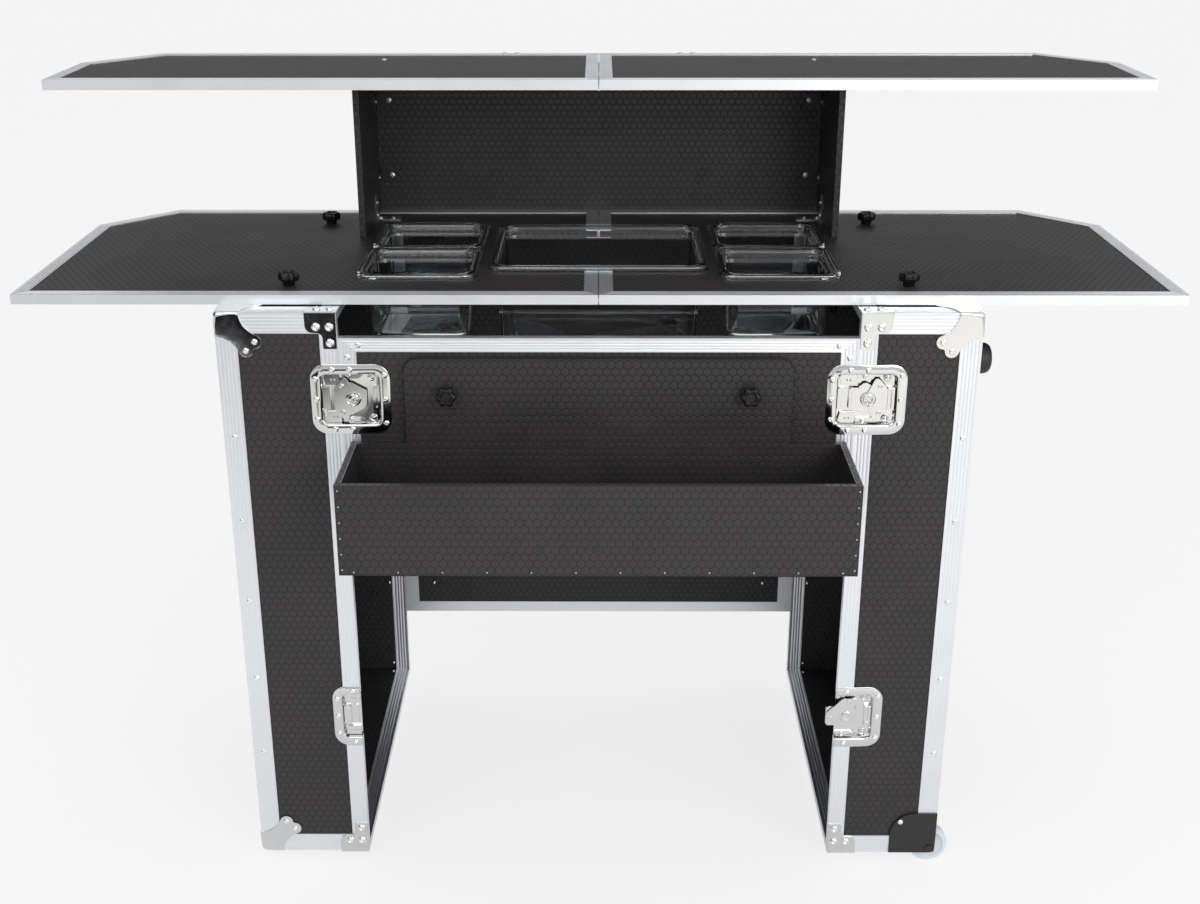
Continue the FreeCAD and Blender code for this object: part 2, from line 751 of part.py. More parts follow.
def latch_rivet_spots():
    """Rivets round each latch: three down its outer flange, one above and one below."""
    for name, side, face, level in LATCHES:
        x, y, z = latch_spot(side, face, level)
        low = f"{y} + {face} * (profile_wall - dish_sheet)"
        high = f"{y} - {face} * dish_sheet"
        halves = [(RIGHT, "turn")] if has_turn(side, face, level) else []
        halves += [(LEFT, "keeper")] if has_keeper(side, face, level) else []
        for way, half in halves:
            for step in (-1, 0, 1):
                yield (f"{x} + {way} * ({half}_width - latch_flange / 2)", low,
                       f"{z} + {step} * {half}_rivet_spread"), facing(face)
            for step in (-1, 1):
                yield ((f"{x} + {way} * {half}_rivet_inset", high,
                        f"{z} + {step} * (latch_height - latch_flange) / 2"),
                       facing(face))


def castor_rivet_spots():
    """One rivet on each castor's face plate."""
    for face in (FRONT, REAR):
        yield ((f"{LEG_OUTSIDE} - castor_rivet_inset", f"{face_y(face)} - {face} * castor_sheet",
                f"{LEG_BOTTOM} + castor_rivet_inset"), facing(face))


def rivets():
    """The small rivets of the case's hardware."""
    master = frustum("rivet_master", ("0", "0", "0"), "rivet_diameter / 2", "rivet_crown / 2", "rivet_height")
    spots = [*stile_rivet_spots(), *cap_rivet_spots(), *frame_rivet_spots(), *latch_rivet_spots(),
             *castor_rivet_spots()]
    return node(copies("rivets", master, spots), "rivets")


def brace_rivets():
    """The large rivets of the braces: three on the face and two on the end, but none under the counter."""
    master = frustum("brace_rivet_master", ("0", "0", "0"), "big_rivet_diameter / 2", "big_rivet_crown / 2",
                     "big_rivet_height")
    spots = []
    for side, face, end, height, castor in leg_corners():
        for inset, level in (("brace_rivet_near", "brace_rivet_level"),
                             ("brace_rivet_far", "brace_rivet_level"),
                             ("brace_rivet_near", "brace_rivet_low")):
            spots.append(((side_x(side, f"{BAY_HALF} + {inset}"), f"{face_y(face)} - {face} * cap_sheet",
                           f"{height} + {end} * {level}"), facing(face)))
        under_counter = face == REAR and end == -1
        for inset in () if under_counter else ("brace_rivet_near", "brace_rivet_far"):
            spots.append(((side_x(side, f"{BAY_HALF} + {inset}"),
                           f"{face_y(face)} + {face} * brace_rivet_depth",
                           f"{height} - {end} * cap_sheet"), ALONG["-z" if end == 1 else "+z"]))
    return node(copies("brace_rivets", master, spots), "brace_rivets")


def rubber_feet():
    """Tapered rubber feet under both legs, and on the outer side of the right one."""
    reach = "foot_height + profile_wall"
    pieces = []
    for side in (LEFT, RIGHT):
        for face in (FRONT, REAR):
            at = (side_x(side, "bay_width / 2 + leg_width / 2"), f"{face_y(face)} + {face} * foot_inset",
                  f"{LEG_BOTTOM} + profile_wall")
            pieces.append(frustum("foot", at, "foot_diameter / 2", "foot_end_diameter / 2", reach, "-z"))
    for face in (FRONT, REAR):
        at = (f"{LEG_OUTSIDE} - profile_wall", f"{face_y(face)} + {face} * side_foot_inset",
              f"{LEG_TOP} - side_foot_drop")
        pieces.append(frustum("side_foot", at, "foot_diameter / 2", "foot_end_diameter / 2",
                              "side_foot_height", "+x"))
    return node(group("rubber_feet", pieces), "rubber_feet")


# Castors in the right leg's outer bottom corners
def castor_corner(face):
    """The right leg's outer bottom corner at one face."""
    return (LEG_OUTSIDE, face_y(face), LEG_BOTTOM)


def castor_room(face):
    """What is cut from the leg's corner for a castor's housing."""
    x, y, z = castor_corner(face)
    return block("castor_room", (f"{x} + overrun", f"{y} - {face} * overrun", f"{z} - overrun"),
                 ("housing_reach + overrun", "housing_width + overrun", "housing_reach + overrun"),
                 (-1, face, 1))


def axle_line(face, depth):
    """A point of a castor's axle, at a depth behind the leg's face."""
    return (f"{LEG_OUTSIDE} - axle_inset", f"{face_y(face)} + {face} * ({depth})",
            f"{LEG_BOTTOM} + axle_inset")


def castor_brackets():
    """Each castor's housing, open outwards and downwards, with its rounded face plate."""
    pieces = []
    for face in (FRONT, REAR):
        x, y, z = castor_corner(face)
        shell = block("housing_block", (x, y, z), ("housing_reach", "housing_width", "housing_reach"),
                      (-1, face, 1))
        room = block("housing_room", (f"{x} + overrun", f"{y} + {face} * housing_wall", f"{z} - overrun"),
                     ("housing_reach - housing_wall + overrun", "housing_width - 2 * housing_wall",
                      "housing_reach - housing_wall + overrun"), (-1, face, 1))
        shell = cut("housing", shell, room)
        plate = castor_plate()
        plate_y = y if face == FRONT else f"{y} + castor_sheet"
        place(plate, (x, plate_y, z), ALONG["-y"])
        bore = cylinder("axle_bore", axle_line(face, "-castor_sheet - overrun"), "axle_diameter / 2",
                        "housing_width + castor_sheet + 2 * overrun", "+y" if face == FRONT else "-y")
        pieces.append(cut("castor_bracket", fuse("castor_bracket_solid", shell, plate), bore))
    return node(group("castor_brackets", pieces), "castor_brackets")


def castor_plate():
    """The rounded face plate, with the corner of the leg as its own origin."""
    owner = body("castor_plate_face")
    pad(owner, rectangle(owner, ("-castor_plate", "0"), ("0", "castor_plate")), "castor_sheet")
    fillet(owner, "castor_plate_round", lambda middle, ends: upright(ends) and middle.y > -middle.x / 2 > 0)
    fillet(owner, "castor_plate_corner", lambda middle,
           ends: upright(ends) and round(middle.y - middle.x) == 0)
    return owner


def castor_axles():
    """The fixed pins that the wheels turn on."""
    pieces = []
    for face in (FRONT, REAR):
        along = "+y" if face == FRONT else "-y"
        pin = cylinder("axle_pin", axle_line(face, "-castor_sheet"), "axle_diameter / 2",
                       "housing_width + castor_sheet", along)
        head = cylinder("axle_head", axle_line(face, "-castor_sheet - axle_head_height"),
                        "axle_head_diameter / 2",
                        "axle_head_height", along)
        pieces.append(fuse("castor_axle", pin, head))
    return node(group("castor_axles", pieces), "castor_axles")


def castor_wheel(face):
    """A wheel and its hub, with a running fit on the axle."""
    name = "castor_wheel_front" if face == FRONT else "castor_wheel_rear"
    along = "+y" if face == FRONT else "-y"
    hub_length = "(housing_width - 2 * housing_wall - 2 * hand_clearance)"
    hub = cylinder("wheel_hub", axle_line(face, "housing_wall + hand_clearance"), "wheel_hub_diameter / 2",
                   hub_length, along)
    tread = cylinder("wheel_tread", axle_line(face, "(housing_width - wheel_width) / 2"),
                     "wheel_diameter / 2",
                     "wheel_width", along)
    bore = cylinder("wheel_bore", axle_line(face, "0"), "axle_diameter / 2 + running_clearance",
                    "housing_width", along)
    return node(cut(name, fuse("wheel_solid", hub, tread), bore), name)


# Side handles
HANDLE_FACING = {
    RIGHT: FreeCAD.Rotation(DIAGONAL, 120),
    LEFT: FreeCAD.Rotation(Z_AXIS, 180) * FreeCAD.Rotation(DIAGONAL, 120),
}


def handle_spot(side):
    """The middle of a handle, on the outer face of the leg's ply."""
    return (side_x(side, f"{LEG_OUTSIDE} - profile_wall"), f"({LEG_FRONT} + {LEG_REAR}) / 2",
            f"{LEG_BOTTOM} + handle_level")


def handle_cutter(side):
    """Room for a handle's well in the side panel."""
    x, y, z = handle_spot(side)
    length = "(handle_length - 2 * handle_flange + 2 * latch_fit)"
    height = "(handle_width - 2 * handle_flange + 2 * latch_fit)"
    return block("handle_room", (f"{x} + {side} * overrun", f"{y} - {length} / 2", f"{z} - {height} / 2"),
                 ("ply_thickness + 2 * overrun", length, height), (-side, 1, 1))


def handle_dishes():
    """Pressed dishes that hold the side handles."""
    owner = body("handle_dish")
    pad(owner, centred(owner, "handle_length", "handle_width"), "dish_sheet")
    fillet(owner, "handle_corner", lambda middle, ends: upright(ends))
    well_length = "handle_length - 2 * handle_flange"
    well_width = "handle_width - 2 * handle_flange"
    pad(owner, centred(owner, well_length, well_width, "dish_sheet"), "handle_depth + 2 * dish_sheet",
        down=True)
    pocket(owner, centred(owner, f"{well_length} - 2 * dish_sheet", f"{well_width} - 2 * dish_sheet",
                          "dish_sheet"),
           "handle_depth + dish_sheet")
    pivot = cylinder("bail_bore", ("-handle_length / 2", "bail_pivot_rise", "-bail_pivot_depth"),
                     "bail_wire / 2 + running_clearance", "handle_length", "+x")
    dish = cut("handle_dish_bored", owner, pivot)
    spots = [(handle_spot(side), HANDLE_FACING[side]) for side in (LEFT, RIGHT)]
    return node(copies("handle_dishes", dish, spots), "handle_dishes")


def handle_bail(side):
    """A bent wire bail with a moulded grip. It hangs in its dish and swings out."""
    name = "handle_bail_left" if side == LEFT else "handle_bail_right"
    depth = "-bail_pivot_depth"
    low = "bail_pivot_rise - bail_drop"
    stub_end = "(handle_length / 2 - handle_flange)"
    arm_x = "(bail_span / 2 - bail_wire / 2)"
    pivot = [cylinder("bail_stub", (f"{way} * {arm_x}", "bail_pivot_rise", depth), "bail_wire / 2",
                      f"{stub_end} - {arm_x}", "+x" if way > 0 else "-x") for way in (-1, 1)]
    arms = [cylinder("bail_arm", (f"{way} * {arm_x}", low, depth), "bail_wire / 2", "bail_drop", "+y")
            for way in (-1, 1)]
    knees = [ball("bail_knee", (f"{way} * {arm_x}", height, depth), "bail_wire / 2")
             for way in (-1, 1) for height in (low, "bail_pivot_rise")]
    bar = cylinder("bail_bar", (f"-{arm_x}", low, depth), "bail_wire / 2", f"2 * {arm_x}", "+x")
    grip = cylinder("bail_grip", ("-bail_grip_length / 2", low, depth), "bail_grip_diameter / 2",
                    "bail_grip_length", "+x")
    bail = fuse(name, *pivot, *arms, *knees, bar, grip)
    return node(place(bail, handle_spot(side), HANDLE_FACING[side]), name)


def ball(name, centre, radius):
    """A sphere about a point."""
    item = doc.addObject("Part::Sphere", name)
    bind(item, Radius=radius)
    return place(item, centre)


# Latches. Their own Z points out of the case, with the outer face of the profiles at zero
def latch_dish(name, width):
    """A pressed half dish: a flange that steps over the profile, and a well open to the split."""
    half = "latch_height / 2"
    flange = body(f"{name}_flange")
    pad(flange, rectangle(flange, ("0", f"-{half}"), (width, half), "-profile_wall"),
        "profile_wall + dish_sheet")
    fillet(flange, "latch_corner", lambda middle, ends: upright(ends) and middle.x > ends.Length)
    step = rectangle(flange, ("rim_width + dish_sheet", f"-{half} - overrun"),
                     (f"{width} + overrun", f"{half} + overrun"),
                     "dish_sheet")
    pocket(flange, step, "profile_wall")
    under = rectangle(flange, ("-overrun", f"-{half} - overrun"), ("rim_width", f"{half} + overrun"), "0")
    pocket(flange, under, "profile_wall + overrun")
    well_half = f"({half} - latch_flange)"
    well = latch_well(f"{name}_well", "0", f"{width} - latch_flange", well_half, "0", WELL_DEPTH,
                      "well_corner")
    room = latch_well(f"{name}_room", "-overrun", f"{width} - latch_flange - dish_sheet",
                      f"{well_half} - dish_sheet",
                      "dish_sheet", "latch_recess + dish_sheet", "well_corner - dish_sheet")
    return cut(name, fuse(f"{name}_pressing", flange, well), room)


def latch_well(name, start, end, half, top, depth, corner):
    """A block from the split to a rounded end, which reaches down from a height."""
    owner = body(name)
    pad(owner, rectangle(owner, (start, f"-({half})"), (end, half), top), depth, down=True)
    fillet(owner, corner, lambda middle, ends: upright(ends) and middle.x > ends.Length)
    return owner


def latch_keepers():
    """The fixed halves of the latches, each with the catch that its hook pulls on."""
    dish = latch_dish("keeper_dish", "keeper_width")
    catch = block("keeper_catch", ("catch_inset", "-catch_length / 2", "-latch_recess"),
                  ("catch_thickness", "catch_length", f"latch_recess - {HOOK_BASE} - hand_clearance"))
    master = fuse("keeper", dish, catch)
    spots = [(latch_spot(side, face, level), KEEPER_FACING[face])
             for name, side, face, level in LATCHES if has_keeper(side, face, level)]
    return node(copies("latch_keepers", master, spots), "latch_keepers")


# Depths of the hook's underside and of the turn piece's underside below the outer face
TURN_BASE = "(turn_sheet + pivot_cap_height + hand_clearance)"
HOOK_BASE = f"({TURN_BASE} + hand_clearance + hook_sheet)"


def latch_dishes():
    """The halves of the latches that hold the turn pieces, each with its pivot stud."""
    dish = latch_dish("turn_dish", "turn_width")
    stud = cylinder("pivot_stud", ("pivot_inset", "0", "-latch_recess"), "pivot_diameter / 2",
                    "latch_recess - pivot_cap_height")
    master = fuse("turn_half", dish, stud)
    spots = [(latch_spot(side, face, level), TURN_FACING[face])
             for name, side, face, level in LATCHES if has_turn(side, face, level)]
    return node(copies("latch_dishes", master, spots), "latch_dishes")


def latch_hook(name, side, face, level):
    """The sheet hook that the turn piece drives. The one that nothing holds is stored open."""
    owner = body(f"latch_hook_{name}")
    tip, waist, tail = "hook_tip_width / 2", "hook_waist_width / 2", "hook_tail_width / 2"
    points = [("-hook_reach", f"-{tip}"), ("pivot_inset / 2", f"-{waist}"), ("hook_tail", f"-{tail}"),
              ("hook_tail", tail), ("pivot_inset / 2", waist), ("-hook_reach", tip)]
    pad(owner, outline(owner, points, f"-{HOOK_BASE}"), "hook_sheet")
    lip = rectangle(owner, ("-hook_reach", "-catch_length / 2"),
                    ("-hook_reach + hook_lip", "catch_length / 2"), f"-{HOOK_BASE}")
    pad(owner, lip, f"latch_recess - {HOOK_BASE} - hand_clearance", down=True)
    ends = "(pivot_diameter / 2 + hand_clearance)"
    slot = rectangle(owner, (f"pivot_inset - {ends}", f"-{ends}"),
                     (f"pivot_inset + {ends} + hook_travel", ends), f"-{HOOK_BASE}")
    pocket(owner, slot, "hook_sheet", up=True)
    shift = "open_hook_travel" if name == OPEN_LATCH else "0"
    x, y, z = latch_spot(side, face, level)
    return node(place(owner, (f"{x} - {shift}", y, z), TURN_FACING[face]), f"latch_hook_{name}")


def latch_turn(name, side, face, level):
    """The butterfly that is turned by hand: a hub with a wing on one side. Its own Z is the pivot."""
    hub = cylinder("turn_hub", ("0", "0", f"-{TURN_BASE}"), "turn_hub_diameter / 2", "turn_sheet")
    wing = body("turn_wing")
    root, tip, edge = "turn_hub_diameter / 2", "turn_wing_span / 2", "turn_wing_edge / 2"
    points = [("0", f"-{root}"), ("turn_wing_tip", f"-{tip}"), ("turn_wing_width", f"-{edge}"),
              ("turn_wing_width", edge),
              ("turn_wing_tip", tip), ("0", root)]
    pad(wing, outline(wing, points, f"-{TURN_BASE}"), "turn_sheet")
    bore = cylinder("turn_bore", ("0", "0", f"-{TURN_BASE} - overrun"),
                    "pivot_diameter / 2 + running_clearance",
                    "turn_sheet + 2 * overrun")
    turn = cut(f"latch_turn_{name}", fuse("turn_solid", hub, wing), bore)
    spin = FreeCAD.Rotation(Z_AXIS, REST_TURNS.get(name, 0))
    x, y, z = latch_spot(side, face, level)
    return node(place(turn, (f"{x} + pivot_inset", y, z), TURN_FACING[face] * spin), f"latch_turn_{name}")


# Apron and fascia
def framed_panel(word, face, bottom, height, levels):
    """A ply panel in a frame of four channels, between the legs. Returns the panel and its frame."""
    panel = block(f"{word}_board", (f"-{BAY_HALF} + rim_web", f"{face_y(face)} + {face} * profile_wall",
                                    f"{bottom} + rim_web"),
                  ("bay_width - 2 * rim_web", "ply_thickness", f"{height} - 2 * rim_web"), (1, face, 1))
    bars = []
    for side in (LEFT, RIGHT):
        bar = block(f"{word}_stile_bar", (side_x(side, BAY_HALF), face_y(face), bottom),
                    ("rim_width", SHELL_WALL, height),
                    (-side, face, 1))
        slot = block(f"{word}_stile_slot",
                     (side_x(side, f"{BAY_HALF} - rim_web"), f"{face_y(face)} + {face} * profile_wall",
                                            f"{bottom} + rim_web"),
                     ("rim_width", "ply_thickness", f"{height} - 2 * rim_web"), (-side, face, 1))
        stile = cut(f"{word}_stile", bar, slot)
        for level in levels:
            stile = cut(f"{word}_stile_notched", stile,
                        well_cutter(f"{word}_notch", side, face, level, -side, f"{WELL_DEPTH} + latch_fit"))
            panel = cut(f"{word}_board_cut", panel,
                        well_cutter(f"{word}_hole", side, face, level, -side, SHELL_WALL))
        bars.append(stile)
    for end, height_at in ((1, bottom), (-1, f"{bottom} + {height}")):
        bar = block(f"{word}_rail_bar", (f"-{BAY_HALF} + rim_width", face_y(face), height_at),
                    ("bay_width - 2 * rim_width", SHELL_WALL, "rail_width"), (1, face, end))
        slot = block(f"{word}_rail_slot", (f"-{BAY_HALF}", f"{face_y(face)} + {face} * profile_wall",
                                           f"{height_at} + {end} * rim_web"),
                     ("bay_width", "ply_thickness", "rail_width"), (1, face, end))
        bars.append(cut(f"{word}_rail", bar, slot))
    return panel, bars


def apron():
    """The panel that closes the bartender's side, and its frame."""
    panel, bars = framed_panel("apron", FRONT, APRON_BOTTOM, "apron_height", [UPPER_LATCH])
    holes = [cylinder("apron_stud_hole", (x, f"{LEG_FRONT} - overrun", z),
                      "stud_diameter / 2 + stud_clearance",
                      f"{SHELL_WALL} + 2 * overrun", "+y") for x, y, z in tray_knob_seats()]
    node(cut("apron_panel", panel, *holes), "apron_panel")
    node(group("apron_frame", bars), "apron_frame")


def fascia():
    """The panel that closes the customers' side, and its frame."""
    panel, bars = framed_panel("fascia", REAR, FASCIA_BOTTOM, "fascia_height", [UPPER_LATCH, LOWER_LATCH])
    node(group("fascia_panel", [panel]), "fascia_panel")
    node(group("fascia_frame", bars), "fascia_frame")


# Speed rail tray
def speed_rail_tray():
    """An open ply tray hung on the apron by the tongue of its back board."""
    floor_y = f"({LEG_FRONT} - tray_wall)"
    half = f"{TRAY_WIDTH} / 2"
    inside = "tray_depth - 2 * tray_wall"
    front = block("tray_front", (f"-{half}", f"{LEG_FRONT} - tray_depth", TRAY_BOTTOM),
                  (TRAY_WIDTH, "tray_wall", "tray_height"))
    ends = [block("tray_end", (side_x(side, half), floor_y, TRAY_BOTTOM),
                  ("tray_wall", inside, "tray_height"), (-side, -1, 1))
            for side in (LEFT, RIGHT)]
    bottom = block("tray_floor", (f"-{half} + tray_wall", floor_y, TRAY_BOTTOM),
                   (f"{TRAY_WIDTH} - 2 * tray_wall", inside, "tray_wall"), (1, -1, 1))
    back = body("tray_back")
    tongue = TONGUE_HALF
    points = [(f"-{half}", "0"), (half, "0"), (half, "tray_height"), (tongue, "tray_height"),
              (tongue, "tongue_height"),
              (f"-{tongue}", "tongue_height"), (f"-{tongue}", "tray_height"), (f"-{half}", "tray_height")]
    pad(back, outline(back, points, role="XZ_Plane"), "tray_wall")
    fillet(back, "tongue_round", tongue_corner)
    place(back, ("0", LEG_FRONT, TRAY_BOTTOM))
    holes = [cylinder("tongue_hole", (x, f"{y} - overrun", z), "stud_diameter / 2 + stud_clearance",
                      "tray_wall + 2 * overrun", "+y") for x, y, z in tray_knob_seats()]
    back = cut("tray_back_bored", back, *holes)
    return node(group("speed_rail_tray", [front, *ends, bottom, back]), "speed_rail_tray")


def tongue_corner(middle, ends):
    """Whether an edge runs through the back board at the top of its tongue."""
    return abs(ends.y) > abs(ends.x) + abs(ends.z) and round(middle.z - SIZES["tongue_height"]) == 0


def tray_knob_seats():
    """Where the two tray knobs press on the tongue."""
    height = f"{TRAY_BOTTOM} + tongue_height - tray_knob_drop"
    x = f"{TONGUE_HALF} - tray_knob_inset"
    return [(side_x(side, x), f"{LEG_FRONT} - tray_wall", height) for side in (LEFT, RIGHT)]


# Counters
def half_outline(side, inset, depth, chamfer_x, chamfer_y, front):
    """The corners of half a counter, moved in by inset all round, with its rear outer corner cut off."""
    slope = f"sqrt({chamfer_x} * {chamfer_x} + {chamfer_y} * {chamfer_y})"
    inner = f"split_gap / 2 + {inset}"
    outer = f"counter_width / 2 - {inset}"
    low, high = f"{front} + {inset}", f"{front} + {depth} - {inset}"
    cut_y = f"{front} + {depth} - {chamfer_y} - {inset} * ({slope} - {chamfer_y}) / {chamfer_x}"
    cut_x = f"counter_width / 2 - {chamfer_x} - {inset} * ({slope} - {chamfer_x}) / {chamfer_y}"
    points = [(inner, low), (outer, low), (outer, cut_y), (cut_x, high), (inner, high)]
    return [(side_x(side, x), y) for x, y in points]


def counter_half(word, side, front, bottom, depth, thickness, chamfer_x, chamfer_y, holes):
    """Half a counter: a ply board, and the channel that edges it all round."""
    def slab(name, inset, low, height):
        owner = body(name)
        pad(owner, outline(owner, half_outline(side, inset, depth, chamfer_x, chamfer_y, front), low), height)
        return owner

    board = slab(f"{word}_board", "profile_wall", f"{bottom} + profile_wall",
                 f"{thickness} - 2 * profile_wall")
    core = slab(f"{word}_core", "profile_wall", f"{bottom} + profile_wall", f"{thickness} - 2 * profile_wall")
    hull = slab(f"{word}_hull", "0", bottom, thickness)
    window = slab(f"{word}_window", "counter_flange", f"{bottom} - overrun", f"{thickness} + 2 * overrun")
    edging = cut(f"{word}_edge", hull, core, window)
    for hole in holes:
        board = cut(f"{word}_bored_board", board, hole)
        edging = cut(f"{word}_bored_edge", edging, hole)
    return board, edging


def lower_counter():
    """The working counter: two halves with cut-outs for the pans and holes for the knobs' studs."""
    boards, edgings = [], []
    for side in (LEFT, RIGHT):
        holes = [pan_cutter(pan) for pan in PANS if pan[1] == side or pan[0] == "pan_centre"]
        for y in counter_knob_rows():
            holes.append(cylinder("stud_hole",
                                  (side_x(side, COUNTER_KNOB_X), y, f"{COUNTER_BOTTOM} - overrun"),
                                  "stud_diameter / 2 + stud_clearance", "counter_thickness + 2 * overrun"))
        board, edging = counter_half("lower_counter", side, COUNTER_FRONT, COUNTER_BOTTOM, "counter_depth",
                                     "counter_thickness", "counter_chamfer_x", "counter_chamfer_y", holes)
        boards.append(board)
        edgings.append(edging)
    node(group("lower_counter_boards", boards), "lower_counter_boards")
    node(group("lower_counter_edging", edgings), "lower_counter_edging")


def upper_counter():
    """The serving counter: two halves on the riser."""
    boards, edgings = [], []
    for side in (LEFT, RIGHT):
        board, edging = counter_half("upper_counter", side, UPPER_FRONT, RISER_TOP, "upper_depth",
                                     "upper_thickness",
                                     "upper_chamfer_x", "upper_chamfer_y", [])
        boards.append(board)
        edgings.append(edging)
    node(group("upper_counter_boards", boards), "upper_counter_boards")
    node(group("upper_counter_edging", edgings), "upper_counter_edging")


def counter_hinges():
    """Butt hinges across the split, under both counters."""
    pieces = []
    rows = [(f"{COUNTER_FRONT} + front_hinge_inset", COUNTER_BOTTOM),
            (f"{COUNTER_REAR} - rear_hinge_inset - hinge_length", COUNTER_BOTTOM),
            (f"{UPPER_FRONT} + upper_hinge_inset", RISER_TOP),
            (f"{UPPER_REAR} - upper_hinge_inset - hinge_length - ply_thickness", RISER_TOP)]
    for y, z in rows:
        for side in (LEFT, RIGHT):
            pieces.append(block("hinge_leaf_plate", (side_x(side, "hinge_barrel / 2"), y, z),
                                ("hinge_leaf", "hinge_length", "hinge_sheet"), (side, 1, -1)))
        pieces.append(cylinder("hinge_knuckle", ("0", y, f"{z} - hinge_barrel / 2"), "hinge_barrel / 2",
                               "hinge_length", "+y"))
    return node(group("counter_hinges", pieces), "counter_hinges")


# Riser
def riser_panels():
    """Two ply sides and a ply back, open towards the bartender."""
    half = f"{RISER_WIDTH} / 2"
    pieces = []
    for side in (LEFT, RIGHT):
        board = block("riser_side_board", (side_x(side, half), COUNTER_REAR, COUNTER_PLY_TOP),
                      ("ply_thickness", "riser_depth", "riser_height + profile_wall"), (-side, -1, 1))
        notch = block("riser_notch", (side_x(side, f"{half} + overrun"), f"{COUNTER_REAR} + overrun",
                                      f"{COUNTER_TOP}"),
                      ("ply_thickness + 2 * overrun", "counter_flange + overrun", "profile_wall + overrun"),
                      (-side, -1, -1))
        pieces.append(cut("riser_side", board, notch))
    pieces.append(block("riser_back", (f"-{half}", COUNTER_REAR, COUNTER_BOTTOM),
                        (RISER_WIDTH, "ply_thickness", "counter_thickness + riser_height")))
    return node(group("riser_panels", pieces), "riser_panels")


def riser_corner(side):
    """The inner corner of the riser's side and back, as x and y."""
    return side_x(side, f"{RISER_WIDTH} / 2 - ply_thickness"), COUNTER_REAR


def riser_angles():
    """Small painted angles that hold the riser's back to its sides."""
    pieces = []
    for side in (LEFT, RIGHT):
        x, y = riser_corner(side)
        for drop in ("riser_angle_high", "riser_angle_low"):
            corner = (x, y, f"{RISER_TOP} - {drop} - riser_angle_height / 2")
            on_back = block("angle_on_back", corner,
                            ("riser_angle_leg", "riser_angle_sheet", "riser_angle_height"), (-side, -1, 1))
            on_side = block("angle_on_side", corner,
                            ("riser_angle_sheet", "riser_angle_leg", "riser_angle_height"), (-side, -1, 1))
            pieces.append(fuse("riser_angle", on_back, on_side))
    return node(group("riser_angles", pieces), "riser_angles")


def riser_foot_brackets():
    """Bright bent brackets that hold the riser's sides down on the counter."""
    pieces = []
    for side in (LEFT, RIGHT):
        x, y = riser_corner(side)
        corner = (x, f"{y} - foot_bracket_inset", COUNTER_PLY_TOP)
        sole = block("bracket_sole", corner, ("foot_bracket_leg", "foot_bracket_width", "riser_angle_sheet"),
                     (-side, -1, 1))
        stem = block("bracket_stem", corner, ("riser_angle_sheet", "foot_bracket_width", "foot_bracket_leg"),
                     (-side, -1, 1))
        pieces.append(fuse("riser_foot_bracket", sole, stem))
    return node(group("riser_foot_brackets", pieces), "riser_foot_brackets")


def screws():
    """Screw heads on the riser's brackets and on the serving counter."""
    master = frustum("screw_master", ("0", "0", "0"), "screw_diameter / 2", "screw_crown / 2", "screw_height")
    spots = []
    for side in (LEFT, RIGHT):
        x, y = riser_corner(side)
        inwards = ALONG["-x"] if side == RIGHT else ALONG["+x"]
        screw_at = "(riser_angle_leg - screw_diameter)"
        for drop in ("riser_angle_high", "riser_angle_low"):
            z = f"{RISER_TOP} - {drop}"
            spots.append(((f"{x} - {side} * {screw_at}", f"{y} - riser_angle_sheet", z), ALONG["-y"]))
            spots.append(((f"{x} - {side} * riser_angle_sheet", f"{y} - {screw_at}", z), inwards))
        middle_y = f"{y} - foot_bracket_inset - foot_bracket_width / 2"
        for share in (1, 2):
            run = f"(foot_bracket_leg - {share} * foot_bracket_leg / 2 + screw_diameter)"
            spots.append(((f"{x} - {side} * {run}", middle_y, f"{COUNTER_PLY_TOP} + riser_angle_sheet"),
                          ALONG["+z"]))
            spots.append(((f"{x} - {side} * riser_angle_sheet", middle_y, f"{COUNTER_PLY_TOP} + {run}"),
                          inwards))
        for x_share, y_share in COUNTER_SCREW_SHARES:
            on_edging = y_share * SIZES["upper_depth"] < SIZES["counter_flange"]
            height = f"{RISER_TOP} + upper_thickness" + ("" if on_edging else " - profile_wall")
            row = f"{UPPER_REAR} - {y_share} * upper_depth"
            spots.append(((side_x(side, f"{x_share} * counter_width / 2"), row, height), ALONG["+z"]))
    return node(copies("screws", master, spots), "screws")


# Star knobs. Their own Z points away from what they clamp
def star_knob(name, seat, rotation, grip):
    """A lobed hand knob on a stud that goes through what it clamps, which is grip thick."""
    collar = cylinder("knob_collar", ("0", "0", "0"), "knob_collar_diameter / 2", "knob_collar_height")
    core = cylinder("knob_core", ("0", "0", "knob_collar_height"), "knob_core_diameter / 2", "knob_height")
    circle = "(knob_diameter - knob_lobe_diameter) / 2"
    turns = [360 / KNOB_LOBES * step for step in range(KNOB_LOBES)]
    lobes = [cylinder("knob_lobe", (f"{circle} * cos({turn})", f"{circle} * sin({turn})",
                                    "knob_collar_height"),
                      "knob_lobe_diameter / 2", "knob_height") for turn in turns]
    stud = cylinder("knob_stud", ("0", "0", "0"), "stud_diameter / 2",
                    f"{grip} + stud_overrun + hand_clearance", "-z")
    dimple = cylinder("knob_dimple", ("0", "0", "knob_collar_height + knob_height + overrun"),
                      "knob_dimple_diameter / 2",
                      "knob_dimple_depth + overrun", "-z")
    knob = cut(name, fuse("knob_solid", collar, core, *lobes, stud), dimple)
    return node(place(knob, seat, rotation), name)


def counter_knob_rows():
    """How far back the counter's knobs stand."""
    return [f"{COUNTER_FRONT} + counter_knob_front + {step} * counter_knob_pitch" for step in range(2)]


